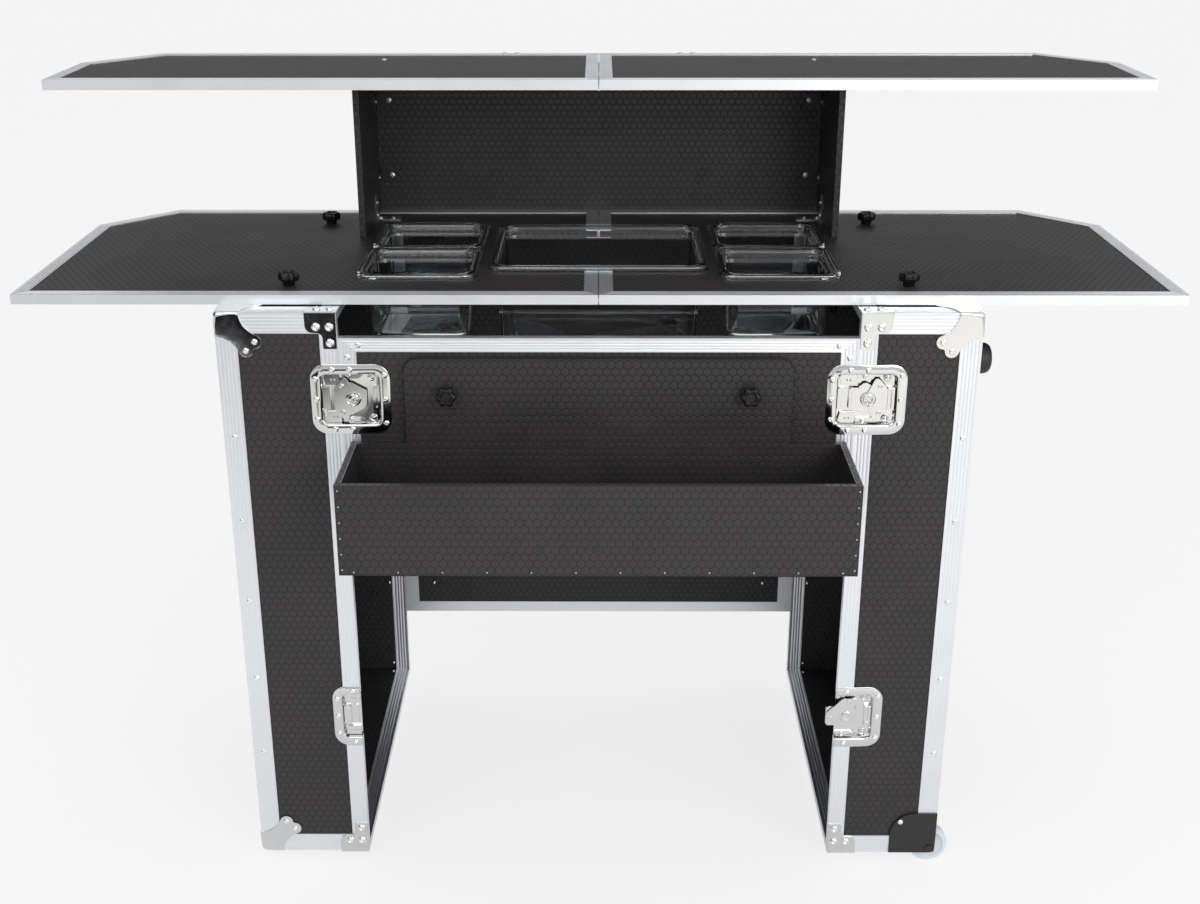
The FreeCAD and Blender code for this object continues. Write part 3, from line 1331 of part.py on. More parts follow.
def star_knobs():
    """Four knobs that bolt the counter to the legs, and two that hold the tray."""
    for side in (LEFT, RIGHT):
        for word, y in zip(("front", "rear"), counter_knob_rows()):
            seat = (side_x(side, COUNTER_KNOB_X), y, f"{COUNTER_PLY_TOP} + hand_clearance")
            star_knob(f"counter_knob_{word}_{'left' if side == LEFT else 'right'}", seat, LEVEL,
                      "counter_thickness + cap_sheet + ply_thickness")
    for side, (x, y, z) in zip((LEFT, RIGHT), tray_knob_seats()):
        star_knob(f"tray_knob_{'left' if side == LEFT else 'right'}", (x, f"{y} - hand_clearance", z),
                  ALONG["-y"],
                  "tray_wall + profile_wall + ply_thickness")


# Food pans: name, side, centre and sizes
def small_pan(side, row):
    """A small pan's entry: two rows on each side of the large one."""
    x = side_x(side, f"{BAY_HALF} - pan_bay_gap - small_pan_length / 2")
    y = f"{COUNTER_FRONT} + small_pan_front + small_pan_width / 2 + {row} * (small_pan_width + small_pan_gap)"
    name = f"pan_{'front' if row == 0 else 'rear'}_{'left' if side == LEFT else 'right'}"
    return (name, side, x, y, f"{COUNTER_PLY_TOP} + hand_clearance", "small_pan_length", "small_pan_width",
            "small_pan_depth")


PANS = [small_pan(side, row) for side in (LEFT, RIGHT) for row in (0, 1)]
PANS.append(("pan_centre", 0, "0", f"{COUNTER_FRONT} + large_pan_front + large_pan_width / 2",
             f"{COUNTER_TOP} + hand_clearance", LARGE_PAN_LENGTH, "large_pan_width", "large_pan_depth"))


def pan_cutter(pan):
    """The cut-out in the counter for a pan's tub."""
    name, side, x, y, z, length, width, depth = pan
    across = f"({length} - 2 * pan_rim_lap + 2 * pan_hole_clearance)"
    along = f"({width} - 2 * pan_rim_lap + 2 * pan_hole_clearance)"
    return block("pan_hole", (f"{x} - {across} / 2", f"{y} - {along} / 2", f"{COUNTER_BOTTOM} - overrun"),
                 (across, along, "counter_thickness + 2 * overrun"))


def pan_form(name, length, width, top, depth, corner, taper=None):
    """A rounded block about its own axis that reaches down from a height."""
    owner = body(name)
    pad(owner, centred(owner, length, width, top), depth, down=True, taper=taper)
    if taper:
        fillet(owner, corner, lambda middle, ends: middle.z < 0)
    else:
        fillet(owner, corner, lambda middle, ends: upright(ends))
    return owner


def food_pan(pan):
    """A clear moulded pan: a tapered tub that hangs in the counter by its turned-down rim."""
    name, side, x, y, z, length, width, depth = pan
    tub_length, tub_width = f"{length} - 2 * pan_rim_lap", f"{width} - 2 * pan_rim_lap"
    rim = pan_form("pan_rim", length, width, "pan_rim_height", "pan_rim_height", "pan_corner")
    under = pan_form("pan_underside", f"{length} - 2 * pan_wall", f"{width} - 2 * pan_wall",
                     "pan_rim_height - pan_wall", "pan_rim_height", "pan_corner - pan_wall")
    tub = pan_form("pan_tub", tub_length, tub_width, "pan_rim_height", depth, "tub_corner", "pan_taper")
    cavity = pan_form("pan_cavity", f"{tub_length} - 2 * pan_wall", f"{tub_width} - 2 * pan_wall",
                      "pan_rim_height",
                      f"{depth} - pan_wall", "tub_corner - pan_wall", "pan_taper")
    pan_solid = cut(name, fuse("pan_solid", cut("pan_lip", rim, under), tub), cavity)
    return node(place(pan_solid, (x, y, z)), name)


write_sheet()
leg_panels(LEFT)
leg_panels(RIGHT)
leg_edge_angles(LEFT)
leg_edge_angles(RIGHT)
leg_closing_frame(LEFT)
leg_closing_frame(RIGHT)
corner_caps()
corner_braces()
rivets()
brace_rivets()
rubber_feet()
castor_brackets()
castor_axles()
castor_wheel(FRONT)
castor_wheel(REAR)
handle_dishes()
handle_bail(LEFT)
handle_bail(RIGHT)
latch_keepers()
latch_dishes()
for latch in LATCHES:
    if has_turn(*latch[1:]):
        latch_hook(*latch)
        latch_turn(*latch)
apron()
fascia()
speed_rail_tray()
lower_counter()
upper_counter()
counter_hinges()
riser_panels()
riser_angles()
riser_foot_brackets()
screws()
star_knobs()
for pan in PANS:
    food_pan(pan)
doc.recompute()

# Check every object, then write each piece
failed = [item.Name for item in doc.Objects if "Invalid" in item.State or "Error" in item.State]
for item in NODES:
    if item.Shape.isNull() or not item.Shape.isValid() or not item.Shape.Solids:
        failed.append(item.Label)
if failed:
    raise SystemExit(f"these objects failed: {sorted(set(failed))}")

os.makedirs("parts", exist_ok=True)
for item in NODES:
    item.Shape.exportStep(f"parts/{item.Label}.step")
whole = FreeCAD.BoundBox()
for item in NODES:
    whole.add(item.Shape.BoundBox)
print(f"{len(NODES)} nodes, {whole.XLength:.1f} x {whole.YLength:.1f} x {whole.ZLength:.1f} mm")
print(f"from {whole.XMin:.2f}, {whole.YMin:.2f}, {whole.ZMin:.2f}")
print(f"to {whole.XMax:.2f}, {whole.YMax:.2f}, {whole.ZMax:.2f}")
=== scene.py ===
import itertools
import math

import bmesh
import bpy
from mathutils import Matrix, Vector
from mathutils.geometry import delaunay_2d_cdt

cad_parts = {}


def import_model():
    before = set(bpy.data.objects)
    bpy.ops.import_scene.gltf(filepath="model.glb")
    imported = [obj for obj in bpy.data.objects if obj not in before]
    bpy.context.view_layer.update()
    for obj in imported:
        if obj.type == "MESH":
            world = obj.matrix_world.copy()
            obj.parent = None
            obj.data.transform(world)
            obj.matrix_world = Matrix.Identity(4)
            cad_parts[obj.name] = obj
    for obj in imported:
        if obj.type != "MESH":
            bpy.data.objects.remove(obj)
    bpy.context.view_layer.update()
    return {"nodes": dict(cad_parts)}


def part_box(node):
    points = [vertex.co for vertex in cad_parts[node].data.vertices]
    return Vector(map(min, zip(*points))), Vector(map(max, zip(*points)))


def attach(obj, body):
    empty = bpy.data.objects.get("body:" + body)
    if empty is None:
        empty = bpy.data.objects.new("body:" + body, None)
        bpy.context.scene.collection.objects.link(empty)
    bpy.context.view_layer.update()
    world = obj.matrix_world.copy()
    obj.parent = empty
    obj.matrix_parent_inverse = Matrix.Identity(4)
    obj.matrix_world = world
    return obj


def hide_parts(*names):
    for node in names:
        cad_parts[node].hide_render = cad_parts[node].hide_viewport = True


# The looks of a portable bar on a road-case base. Shapes are worked out in millimetres, in the frame's own
# axes: X to the bartender's right, Y towards the customers, Z up.

MM = 0.001
LEFT, RIGHT = -1, 1
FRONT, REAR = 1, -1
ROOT_3 = math.sqrt(3)

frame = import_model()


def box(node):
    """A CAD node's lowest and highest corner, in millimetres."""
    low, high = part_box(node)
    return low / MM, high / MM


# Places read from the frame
RIM_LOW, RIM_HIGH = box("right_leg_closing_frame")
BAY = RIM_LOW.x
LEG_FRONT, LEG_REAR = RIM_LOW.y, RIM_HIGH.y
LEG_BOTTOM, LEG_TOP = RIM_LOW.z, RIM_HIGH.z
RIM = RIM_HIGH.x - RIM_LOW.x
OUTSIDE = box("right_leg_edge_angles")[1].x
APRON_LOW, APRON_HIGH = box("apron_frame")
FASCIA_LOW, FASCIA_HIGH = box("fascia_frame")
SHELL = APRON_HIGH.y - APRON_LOW.y
LATCH_LEVELS = {"upper": APRON_HIGH.z - 90.0, "lower": FASCIA_LOW.z + 109.5}

# The legs by their sign along X, and a leg's faces and ends by the sign of their inward direction
SIDES = (("left", LEFT), ("right", RIGHT))
FACES = ((LEG_FRONT, FRONT), (LEG_REAR, REAR))
ENDS = ((LEG_BOTTOM, 1), (LEG_TOP, -1))

# Sizes that follow the frame's
PANEL = 9.5
WALL = 1.5
WEB = 3.0
RAIL = 20.0
ANGLE = 30.0
MITRE_GAP = 0.15
HOUSING_WIDE, HOUSING_DEEP = 45.0, 36.0
CAP_SHEET = 1.5
CAP_TIP = 12.0
LATCH_HALF = 52.0
FLANGE = 15.0
WELL_HALF = LATCH_HALF - FLANGE + 0.2
WELL_FLOOR = -9.5
TURN_DISH, KEEPER_DISH = 70.0, 42.0
PIVOT = 17.0
KNOB_TALL = 19.0
PAN_RIM, PAN_LIP = 9.0, 7.0
HONEYCOMB_PITCH = 11.6


# Meshes in the making
class Form:
    """Corners and faces gathered into one mesh."""

    def __init__(self):
        self.spots = []
        self.faces = []

    def add(self, spots, faces, matrix=Matrix()):
        base = len(self.spots)
        self.spots += [matrix @ Vector(spot) for spot in spots]
        self.faces += [[base + index for index in face] for face in faces]

    def move(self, matrix):
        """Moves all that has been gathered."""
        self.spots = [matrix @ spot for spot in self.spots]

    def loft(self, rings, matrix=Matrix()):
        """Skins a row of rings that have the same number of spots, and closes both ends."""
        count = len(rings[0])
        faces = []
        for here in range(0, (len(rings) - 1) * count, count):
            for step in range(count):
                after = (step + 1) % count
                faces.append([here + step, here + after, here + count + after, here + count + step])
        faces.append(list(range(count)))
        faces.append(list(range((len(rings) - 1) * count, len(rings) * count)))
        self.add([spot for ring in rings for spot in ring], faces, matrix)

    def lathe(self, profile, matrix=Matrix(), segments=24):
        """Turns a profile of (radius, height) about the Z axis."""
        self.loft([circle(radius, height, segments) for radius, height in profile], matrix)

    def plate(self, outline, low, high, matrix=Matrix()):
        """A flat plate between two heights."""
        self.loft([[(x, y, low) for x, y in outline], [(x, y, high) for x, y in outline]], matrix)

    def block(self, low, high):
        """A box between two corners."""
        (x, y, z), (far_x, far_y, far_z) = low, high
        self.plate([(x, y), (far_x, y), (far_x, far_y), (x, far_y)], z, far_z)

    def build(self, name, material, slot, body="frame", replaces=(), bevel=0.0, angle=35.0):
        """Makes the object with its material and its place in the frame."""
        mesh = bpy.data.meshes.new(name)
        mesh.from_pydata([spot * MM for spot in self.spots], [], self.faces)
        work = bmesh.new()
        work.from_mesh(mesh)
        bmesh.ops.remove_doubles(work, verts=work.verts, dist=1e-6)
        bmesh.ops.recalc_face_normals(work, faces=work.faces)
        work.to_mesh(mesh)
        work.free()
        mesh.materials.append(material)
        item = new_object(name, mesh)
        soften(item, bevel, angle)
        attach(item, body)
        if replaces:
            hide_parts(*replaces)
        return item


def new_object(name, data):
    """An object for a mesh, a lamp or a camera, in the scene."""
    item = bpy.data.objects.new(name, data)
    bpy.context.scene.collection.objects.link(item)
    return item


def soften(item, bevel, angle=35.0):
    """Shades smooth where faces meet at less than the angle, and rounds the other edges."""
    item.data.shade_smooth()
    item.data.set_sharp_from_angle(angle=math.radians(angle))
    if bevel:
        edge = item.modifiers.new("edges", "BEVEL")
        edge.width = bevel * MM
        edge.segments = 2
        edge.limit_method = "ANGLE"
        edge.angle_limit = math.radians(angle)
        edge.harden_normals = True


def carry(node, material, bevel):
    """Shows a CAD node as it is, with a material and rounded edges."""
    item = frame["nodes"][node]
    item.data.materials.clear()
    item.data.materials.append(material)
    soften(item, bevel)


def axes(x, y, z, origin=(0, 0, 0)):
    """The matrix that lays a form's own axes along three directions, from an origin."""
    turn = Matrix((x, y, z)).transposed().to_4x4()
    return Matrix.Translation(Vector(origin)) @ turn


def facing(foot, out):
    """The matrix that stands a turned form on a spot, with its axis along a direction."""
    return Matrix.Translation(foot) @ Vector((0, 0, 1)).rotation_difference(Vector(out)).to_matrix().to_4x4()


def circle(radius, height, segments):
    """A ring of spots round the Z axis."""
    turns = [2 * math.pi * step / segments for step in range(segments)]
    return [(radius * math.cos(turn), radius * math.sin(turn), height) for turn in turns]


def arc(centre, radius, start, end, steps=8):
    """Spots along an arc, in degrees."""
    turns = [math.radians(start + (end - start) * step / steps) for step in range(steps + 1)]
    return [(centre[0] + radius * math.cos(turn), centre[1] + radius * math.sin(turn)) for turn in turns]


# Materials
class Nodes:
    """A tree of shader nodes in the making."""

    def __init__(self, tree):
        self.tree = tree

    def node(self, kind, *inputs, **settings):
        """Adds a node. Inputs that are sockets are linked, and the others are set."""
        made = self.tree.nodes.new("ShaderNode" + kind)
        for name, value in settings.items():
            setattr(made, name, value)
        for index, value in enumerate(inputs):
            if isinstance(value, bpy.types.NodeSocket):
                self.tree.links.new(value, made.inputs[index])
            elif value is not None:
                made.inputs[index].default_value = value
        return made

    def math(self, operation, *inputs):
        return self.node("Math", *inputs, operation=operation).outputs[0]

    def total(self, *terms):
        """The sum of some values, each times its weight."""
        result = 0.0
        for value, weight in terms:
            result = self.math("MULTIPLY_ADD", value, weight, result)
        return result

    def vector(self, operation, *inputs):
        made = self.node("VectorMath", *inputs, operation=operation)
        return made.outputs["Value" if operation in ("DOT_PRODUCT", "LENGTH") else "Vector"]

    def split(self, value):
        """The three parts of a vector."""
        return self.node("SeparateXYZ", value).outputs

    def span(self, value, low, high, to_low, to_high, **settings):
        """Maps a value from one span to another, and holds it there."""
        return self.node("MapRange", value, low, high, to_low, to_high, **settings).outputs[0]


class Paint(Nodes):
    """A material with a principled shader."""

    def __init__(self, name, **settings):
        self.material = bpy.data.materials.new(name)
        self.material.use_nodes = True
        super().__init__(self.material.node_tree)
        self.shader = self.tree.nodes["Principled BSDF"]
        for socket, value in settings.items():
            self.shader.inputs[socket.replace("_", " ").title().replace("Ior", "IOR")].default_value = value

    def place(self):
        return self.node("TexCoord").outputs["Object"]

    def noise(self, scale, detail=3.0, stretch=(1.0, 1.0, 1.0)):
        """Noise laid out in the object's own space."""
        made = self.node("TexNoise", self.vector("MULTIPLY", self.place(), stretch))
        made.inputs["Scale"].default_value = scale
        made.inputs["Detail"].default_value = detail
        return made.outputs["Fac"]

    def tint(self, value, low, high):
        """A colour between two, by a value from zero to one."""
        return self.node("Mix", value, *[None] * 5, (*low, 1), (*high, 1), data_type="RGBA").outputs[2]

    def bump(self, height, strength, distance):
        made = self.node("Bump")
        self.tree.links.new(height, made.inputs["Height"])
        made.inputs["Strength"].default_value = strength
        made.inputs["Distance"].default_value = distance
        return made.outputs["Normal"]

    def wire(self, **sockets):
        """Links outputs to the shader's inputs."""
        for name, output in sockets.items():
            self.tree.links.new(output, self.shader.inputs[name.replace("_", " ")])
        return self.material


def flat_place(paint):
    """Object coordinates laid flat on whichever way the surface faces."""
    made = paint.node("TexCoord").outputs
    where, normal = paint.split(made["Object"]), paint.split(paint.vector("ABSOLUTE", made["Normal"]))

    def pick(axis, no, yes):
        """One coordinate, or another where the surface faces along an axis."""
        faces = paint.math("GREATER_THAN", normal[axis], 0.6)
        return paint.node("Mix", faces, None, no, yes, data_type="FLOAT").outputs[0]

    return paint.node("CombineXYZ", pick(0, where[0], where[1]), pick(2, where[2], where[1])).outputs[0]


def honeycomb(paint, flat, pitch):
    """How far a spot is from the middle of its cell, from zero to a half at the seams."""
    cells = paint.vector("DIVIDE", flat, (pitch, pitch * ROOT_3, 1.0))
    found = []
    for shift in (0.0, 0.5):
        part = paint.vector("FRACTION", paint.vector("ADD", cells, (shift, shift, 0.0)))
        centred = paint.vector("SUBTRACT", part, (0.5, 0.5, 0.0))
        found.append(paint.vector("MULTIPLY", centred, (1.0, ROOT_3, 0.0)))
    nearer = paint.math("LESS_THAN", *[paint.vector("LENGTH", spot) for spot in found])
    nearest = paint.node("Mix", nearer, *[None] * 3, found[1], found[0], data_type="VECTOR").outputs[1]
    spot = paint.vector("ABSOLUTE", nearest)
    slanted = paint.vector("DOT_PRODUCT", spot, (0.5, ROOT_3 / 2, 0.0))
    return paint.math("MAXIMUM", paint.split(spot)[0], slanted)


def laminate():
    """Black laminate embossed with a honeycomb: raised cells, fine seams and a satin skin. The seams' colour
    is darkened as painted shade in the grooves.
    """
    paint = Paint("honeycomb_laminate", specular_ior_level=0.42)
    reach = honeycomb(paint, flat_place(paint), HONEYCOMB_PITCH * MM)
    seam = paint.span(reach, 0.42, 0.48, 0.0, 1.0)
    crown = paint.span(reach, 0.2, 0.43, 1.0, 0.0)
    grain, patch = paint.noise(900.0, 4.0), paint.noise(9.0)
    lift = paint.total((seam, -0.8), (crown, 0.35), (grain, 0.12))
    # Colour value: random patches of tone, plus painted shade that darkens the seams
    shade = paint.math("ADD", paint.total((patch, 0.5), (seam, -0.6)), 0.5)
    rough = paint.total((paint.span(patch, 0.3, 0.7, 0.38, 0.5), 1.0), (seam, 0.25))
    colour = paint.tint(shade, (0.006, 0.0055, 0.006), (0.04, 0.035, 0.038))
    return paint.wire(Base_Color=colour, Roughness=rough, Normal=paint.bump(lift, 0.85, 0.0004))


def metal(name, dark, bright, rough, grain, depth=0.00004):
    """A bare metal with fine grain, a little tarnish and soft wear."""
    paint = Paint(name, metallic=1.0)
    fine, cloud = paint.noise(grain, 5.0), paint.noise(14.0)
    return paint.wire(Base_Color=paint.tint(paint.total((fine, 0.4), (cloud, 0.6)), dark, bright),
                      Roughness=paint.span(paint.total((fine, 0.6), (cloud, 0.4)), 0.3, 0.7, *rough),
                      Normal=paint.bump(fine, 0.25, depth))


def moulded(name, dark, bright, rough, grain, strength=0.3, **settings):
    """A moulded or coated surface with a fine skin."""
    paint = Paint(name, **settings)
    fine, cloud = paint.noise(grain, 4.0), paint.noise(22.0, 2.0)
    return paint.wire(Base_Color=paint.tint(cloud, dark, bright),
                      Roughness=paint.span(fine, 0.3, 0.7, *rough),
                      Normal=paint.bump(fine, strength, 0.0001))


def clear_plastic():
    """Clear moulded plastic with faint handling marks."""
    paint = Paint("clear_plastic", transmission_weight=1.0, ior=1.5, base_color=(0.93, 0.95, 0.96, 1))
    marks = paint.noise(130.0, 5.0, (1.0, 1.0, 0.3))
    return paint.wire(Roughness=paint.span(marks, 0.5, 0.75, 0.004, 0.03))


LAMINATE = laminate()
ALUMINIUM = metal("bright_aluminium", (0.84, 0.86, 0.89), (0.93, 0.94, 0.96), (0.36, 0.46), 420.0, 0.000012)
STEEL = metal("polished_steel", (0.66, 0.67, 0.68), (0.77, 0.77, 0.76), (0.05, 0.12), 120.0, 0.00003)
RIVETED = metal("plated_rivets", (0.84, 0.85, 0.86), (0.95, 0.95, 0.94), (0.16, 0.26), 300.0, 0.00001)
ZINC = metal("zinc_plated_steel", (0.5, 0.51, 0.52), (0.72, 0.72, 0.71), (0.25, 0.4), 500.0)
POWDER = moulded("black_powder_coat", (0.012, 0.012, 0.013), (0.022, 0.021, 0.022), (0.38, 0.55), 1400.0)
RUBBER = moulded("black_rubber", (0.01, 0.01, 0.011), (0.02, 0.02, 0.021), (0.42, 0.6), 900.0)
PLASTIC = moulded("black_plastic", (0.005, 0.005, 0.006), (0.011, 0.011, 0.012), (0.12, 0.2), 1600.0, 0.15,
                  specular_ior_level=0.32)
WHEEL = moulded("pale_wheel_plastic", (0.66, 0.72, 0.76), (0.76, 0.81, 0.85), (0.22, 0.34), 300.0, 0.15,
                subsurface_weight=0.15, subsurface_scale=0.006)
CLEAR = clear_plastic()
# Pale grey for thin strips on the tray's top edges: painted highlights where the laminate's edges catch the
# light
EDGE_HIGHLIGHT = moulded("painted_edge_highlight", (0.13, 0.15, 0.16), (0.24, 0.26, 0.27), (0.35, 0.5), 700.0, 0.2)


# Extruded profiles
def ribbed(start, end, pitch=5.0, width=1.3, depth=0.22, margin=2.6):
    """Spots from start to just before end, with fine grooves cut into the left-hand side."""
    start, end = Vector(start), Vector(end)
    run = end - start
    along = run.normalized()
    into = Vector((-along.y, along.x)) * depth
    count = max(0, int((run.length - 2 * margin) / pitch) + 1)
    first = (run.length - (count - 1) * pitch) / 2
    spots = [start]
    for step in range(count):
        middle = start + along * (first + step * pitch)
        spots += [middle - along * width / 2, middle + into, middle + along * width / 2]
    return [tuple(spot) for spot in spots]


def channel(width, depth, wall, web, grooved):
    """A U section: across from the outer edge, and down from the face. Some sides are grooved."""
    corners = [(0, 0), (width, 0), (width, wall), (web, wall), (web, depth - wall), (width, depth - wall),
               (width, depth), (0, depth)]
    spots = []
    for index, corner in enumerate(corners):
        after = corners[(index + 1) % len(corners)]
        spots += ribbed(corner, after) if index in grooved else [corner]
    return spots


RIM_SECTION = [(d, h) for h, d in channel(RIM, SHELL, WALL, WEB, (0, 6, 7))][::-1]
FRAME_SECTION = channel(RIM, SHELL, WALL, WEB, (0,))
ANGLE_SECTION = [*ribbed((0, 0), (ANGLE, 0)), (ANGLE, 0), (ANGLE, WALL), (WALL, WALL), (WALL, ANGLE),
                 (0, ANGLE), *ribbed((0, ANGLE), (0, 0))[1:]]


def ring(form, corners, section, matrix, widths=None, gaps=None, seam=0.12):
    """A section led round a flat outline and mitred at its corners. Gaps are cut out of a side."""
    corners = [Vector(corner) for corner in corners]
    count = len(corners)
    widths = widths or [1.0] * count
    ways = [(corners[(side + 1) % count] - corners[side]).normalized() for side in range(count)]
    inward = [Vector((-way.y, way.x)) for way in ways]

    def meet(before, after, across):
        """Where two sides' lines meet, each moved inwards."""
        a = corners[before] + inward[before] * across * widths[before]
        b = corners[after] + inward[after] * across * widths[after]
        cross = ways[before].x * ways[after].y - ways[before].y * ways[after].x
        run = ((b.x - a.x) * ways[after].y - (b.y - a.y) * ways[after].x) / cross
        return a + ways[before] * run

    def cross_cut(side, run):
        """The section square across a side."""
        base = corners[side] + ways[side] * run
        return [(*(base + inward[side] * d * widths[side]), h) for d, h in section]

    for side in range(count):
        before, after = (side - 1) % count, (side + 1) % count
        here = [(*(meet(before, side, d) + ways[side] * seam), h) for d, h in section]
        last = [(*(meet(side, after, d) - ways[side] * seam), h) for d, h in section]
        for low, high in (gaps or {}).get(side, []):
            form.loft([here, cross_cut(side, low)], matrix)
            here = cross_cut(side, high)
        form.loft([here, last], matrix)


def bar(form, section, start, end, across, up):
    """A straight length of a section."""
    start, end, across, up = map(Vector, (start, end, across, up))
    form.loft([[point + across * d + up * h for d, h in section] for point in (start, end)])


def latch_gaps(low, high, levels):
    """The stretches that the latches' wells take from a frame's two uprights, which run up and down."""
    middles = [LATCH_LEVELS[level] - low for level in levels]
    upward = sorted((middle - WELL_HALF, middle + WELL_HALF) for middle in middles)
    return {1: upward, 3: sorted((high - low - end, high - low - start) for start, end in upward)}


def leg_rims():
    """The closing channels round the open side of each leg."""
    corners = [(LEG_FRONT, LEG_BOTTOM), (LEG_REAR, LEG_BOTTOM), (LEG_REAR, LEG_TOP), (LEG_FRONT, LEG_TOP)]
    for word, side in SIDES:
        form = Form()
        ring(form, corners, RIM_SECTION, axes((0, 1, 0), (0, 0, 1), (side, 0, 0), (side * BAY, 0, 0)),
             gaps=latch_gaps(LEG_BOTTOM, LEG_TOP, ("upper", "lower")))
        form.build(f"{word}_rim", ALUMINIUM, "aluminium_profile", replaces=[f"{word}_leg_closing_frame"])


def panel_frames():
    """The mitred frames of the apron and the fascia."""
    for word, face, y, low, high, levels in (
            ("apron", FRONT, APRON_LOW.y, APRON_LOW, APRON_HIGH, ("upper",)),
            ("fascia", REAR, FASCIA_HIGH.y, FASCIA_LOW, FASCIA_HIGH, ("upper", "lower"))):
        form = Form()
        corners = [(-BAY, low.z), (BAY, low.z), (BAY, high.z), (-BAY, high.z)]
        ring(form, corners, FRAME_SECTION, axes((1, 0, 0), (0, 0, 1), (0, face, 0), (0, y, 0)),
             widths=[RAIL / RIM, 1.0, RAIL / RIM, 1.0], gaps=latch_gaps(low.z, high.z, levels))
        form.build(f"{word}_border", ALUMINIUM, "aluminium_profile", replaces=[f"{word}_frame"])


def edge_angles():
    """The angles over the outer edges of each leg, cut back where the castors sit."""
    for word, side in SIDES:
        form = Form()
        heel = side * OUTSIDE
        rim_end = side * (BAY + RIM + MITRE_GAP)
        foot = LEG_BOTTOM + (HOUSING_WIDE if side == RIGHT else CAP_TIP)
        for y, face in FACES:
            out = (0, face, 0)
            bar(form, ANGLE_SECTION, (heel, y, foot), (heel, y, LEG_TOP - CAP_TIP), (-side, 0, 0), out)
            for z, end in ENDS:
                start = HOUSING_WIDE if side == RIGHT and end == 1 else ANGLE + MITRE_GAP
                bar(form, ANGLE_SECTION, (heel - side * start, y, z), (rim_end, y, z), (0, 0, end), out)
        for z, end in ENDS:
            inset = HOUSING_DEEP if side == RIGHT and end == 1 else ANGLE + MITRE_GAP
            bar(form, ANGLE_SECTION, (heel, LEG_FRONT + inset, z), (heel, LEG_REAR - inset, z), (-side, 0, 0),
                (0, 0, end))
        form.build(f"{word}_edges", ALUMINIUM, "aluminium_profile", replaces=[f"{word}_leg_edge_angles"])


def counter_edges():
    """The channels that edge both counters, each half mitred at all its corners."""
    pan_low, pan_high = box("pan_centre")
    lap = PAN_RIM - 1.5
    hole = (pan_low.y + lap, pan_high.y - lap)
    for word, cut_x, cut_y, gap in (("lower", 104.0, 109.0, hole), ("upper", 101.0, 116.0, None)):
        low, high = box(f"{word}_counter_edging")
        section = channel(RAIL, high.z - low.z, WALL, WALL, (6,))
        form = Form()
        for side in (LEFT, RIGHT):
            split = side * 0.5
            corners = [(split, low.y), (side * high.x, low.y), (side * high.x, high.y - cut_y),
                       (side * (high.x - cut_x), high.y), (split, high.y)]
            if side == LEFT:
                corners = [corners[0], *corners[:0:-1]]
            gaps = {}
            if gap and side == RIGHT:
                gaps = {4: [(high.y - gap[1], high.y - gap[0])]}
            elif gap:
                gaps = {0: [(gap[0] - low.y, gap[1] - low.y)]}
            ring(form, corners, section, axes((1, 0, 0), (0, 1, 0), (0, 0, 1), (0, 0, low.z)), gaps=gaps)
        form.build(f"{word}_counter_border", ALUMINIUM, "aluminium_profile",
                   replaces=[f"{word}_counter_edging"])


leg_rims()
panel_frames()
edge_angles()
counter_edges()


# Rivets and screws, seated where the frame has them
def seats(node):
    """The foot and the outward direction of each small head in a CAD node."""
    work = bmesh.new()
    work.from_mesh(frame["nodes"][node].data)
    bmesh.ops.remove_doubles(work, verts=work.verts, dist=1e-6)
    left = dict.fromkeys(work.verts)
    found = []
    while left:
        group = [left.popitem()[0]]
        for spot in group:
            others = [link.other_vert(spot) for link in spot.link_edges]
            for other in others:
                if other in left:
                    del left[other]
                    group.append(other)
        spots = [spot.co / MM for spot in group]
        spans = [max(s[axis] for s in spots) - min(s[axis] for s in spots) for axis in range(3)]
        thin = spans.index(min(spans))
        ends = [min(s[thin] for s in spots), max(s[thin] for s in spots)]
        rows = [[s for s in spots if abs(s[thin] - end) < 0.01] for end in ends]
        centre = sum(spots, Vector()) / len(spots)
        wide = [max((s - centre).length for s in row) for row in rows]
        base = 0 if wide[0] > wide[1] else 1
        out = Vector()
        out[thin] = 1.0 if base == 0 else -1.0
        found.append((sum(rows[base], Vector()) / len(rows[base]), out))
    work.free()
    return sorted(found, key=lambda seat: tuple(round(value, 3) for value in (*seat[0], *seat[1])))


RIVET = [(0, 0), (4.4, 0), (4.4, 0.3), (4.15, 0.9), (3.5, 1.45), (2.6, 1.85), (1.7, 2.0), (1.3, 1.85),
         (1.1, 1.0), (0.6, 0.7), (0, 0.7)]
BRACE_RIVET = [(0, 0), (6.0, 0), (6.0, 0.5), (5.7, 1.3), (5.0, 2.1), (4.0, 2.65), (3.2, 2.7), (2.7, 2.2),
               (2.4, 1.3), (1.9, 1.1), (1.5, 1.7), (0.9, 2.0), (0, 2.0)]
SCREW = [(0, 0), (4.6, 0), (4.6, 0.6), (3.9, 0.9), (3.4, 1.0), (3.2, 1.6), (2.6, 2.1), (1.7, 2.2), (1.2, 1.2),
         (0, 1.1)]
TAIL = [(0, -0.4), (3.3, -0.4), (3.3, 0.6), (2.9, 1.6), (2.0, 2.4), (0, 2.7)]

for name, node, profile, material, slot in (
        ("rivet_heads", "rivets", RIVET, RIVETED, "bright_steel"),
        ("brace_rivet_heads", "brace_rivets", BRACE_RIVET, RIVETED, "bright_steel"),
        ("screw_heads", "screws", SCREW, ZINC, "zinc_steel")):
    heads = Form()
    for seat in seats(node):
        heads.lathe(profile, facing(*seat), 18)
    heads.build(name, material, slot, replaces=[node], angle=50.0)

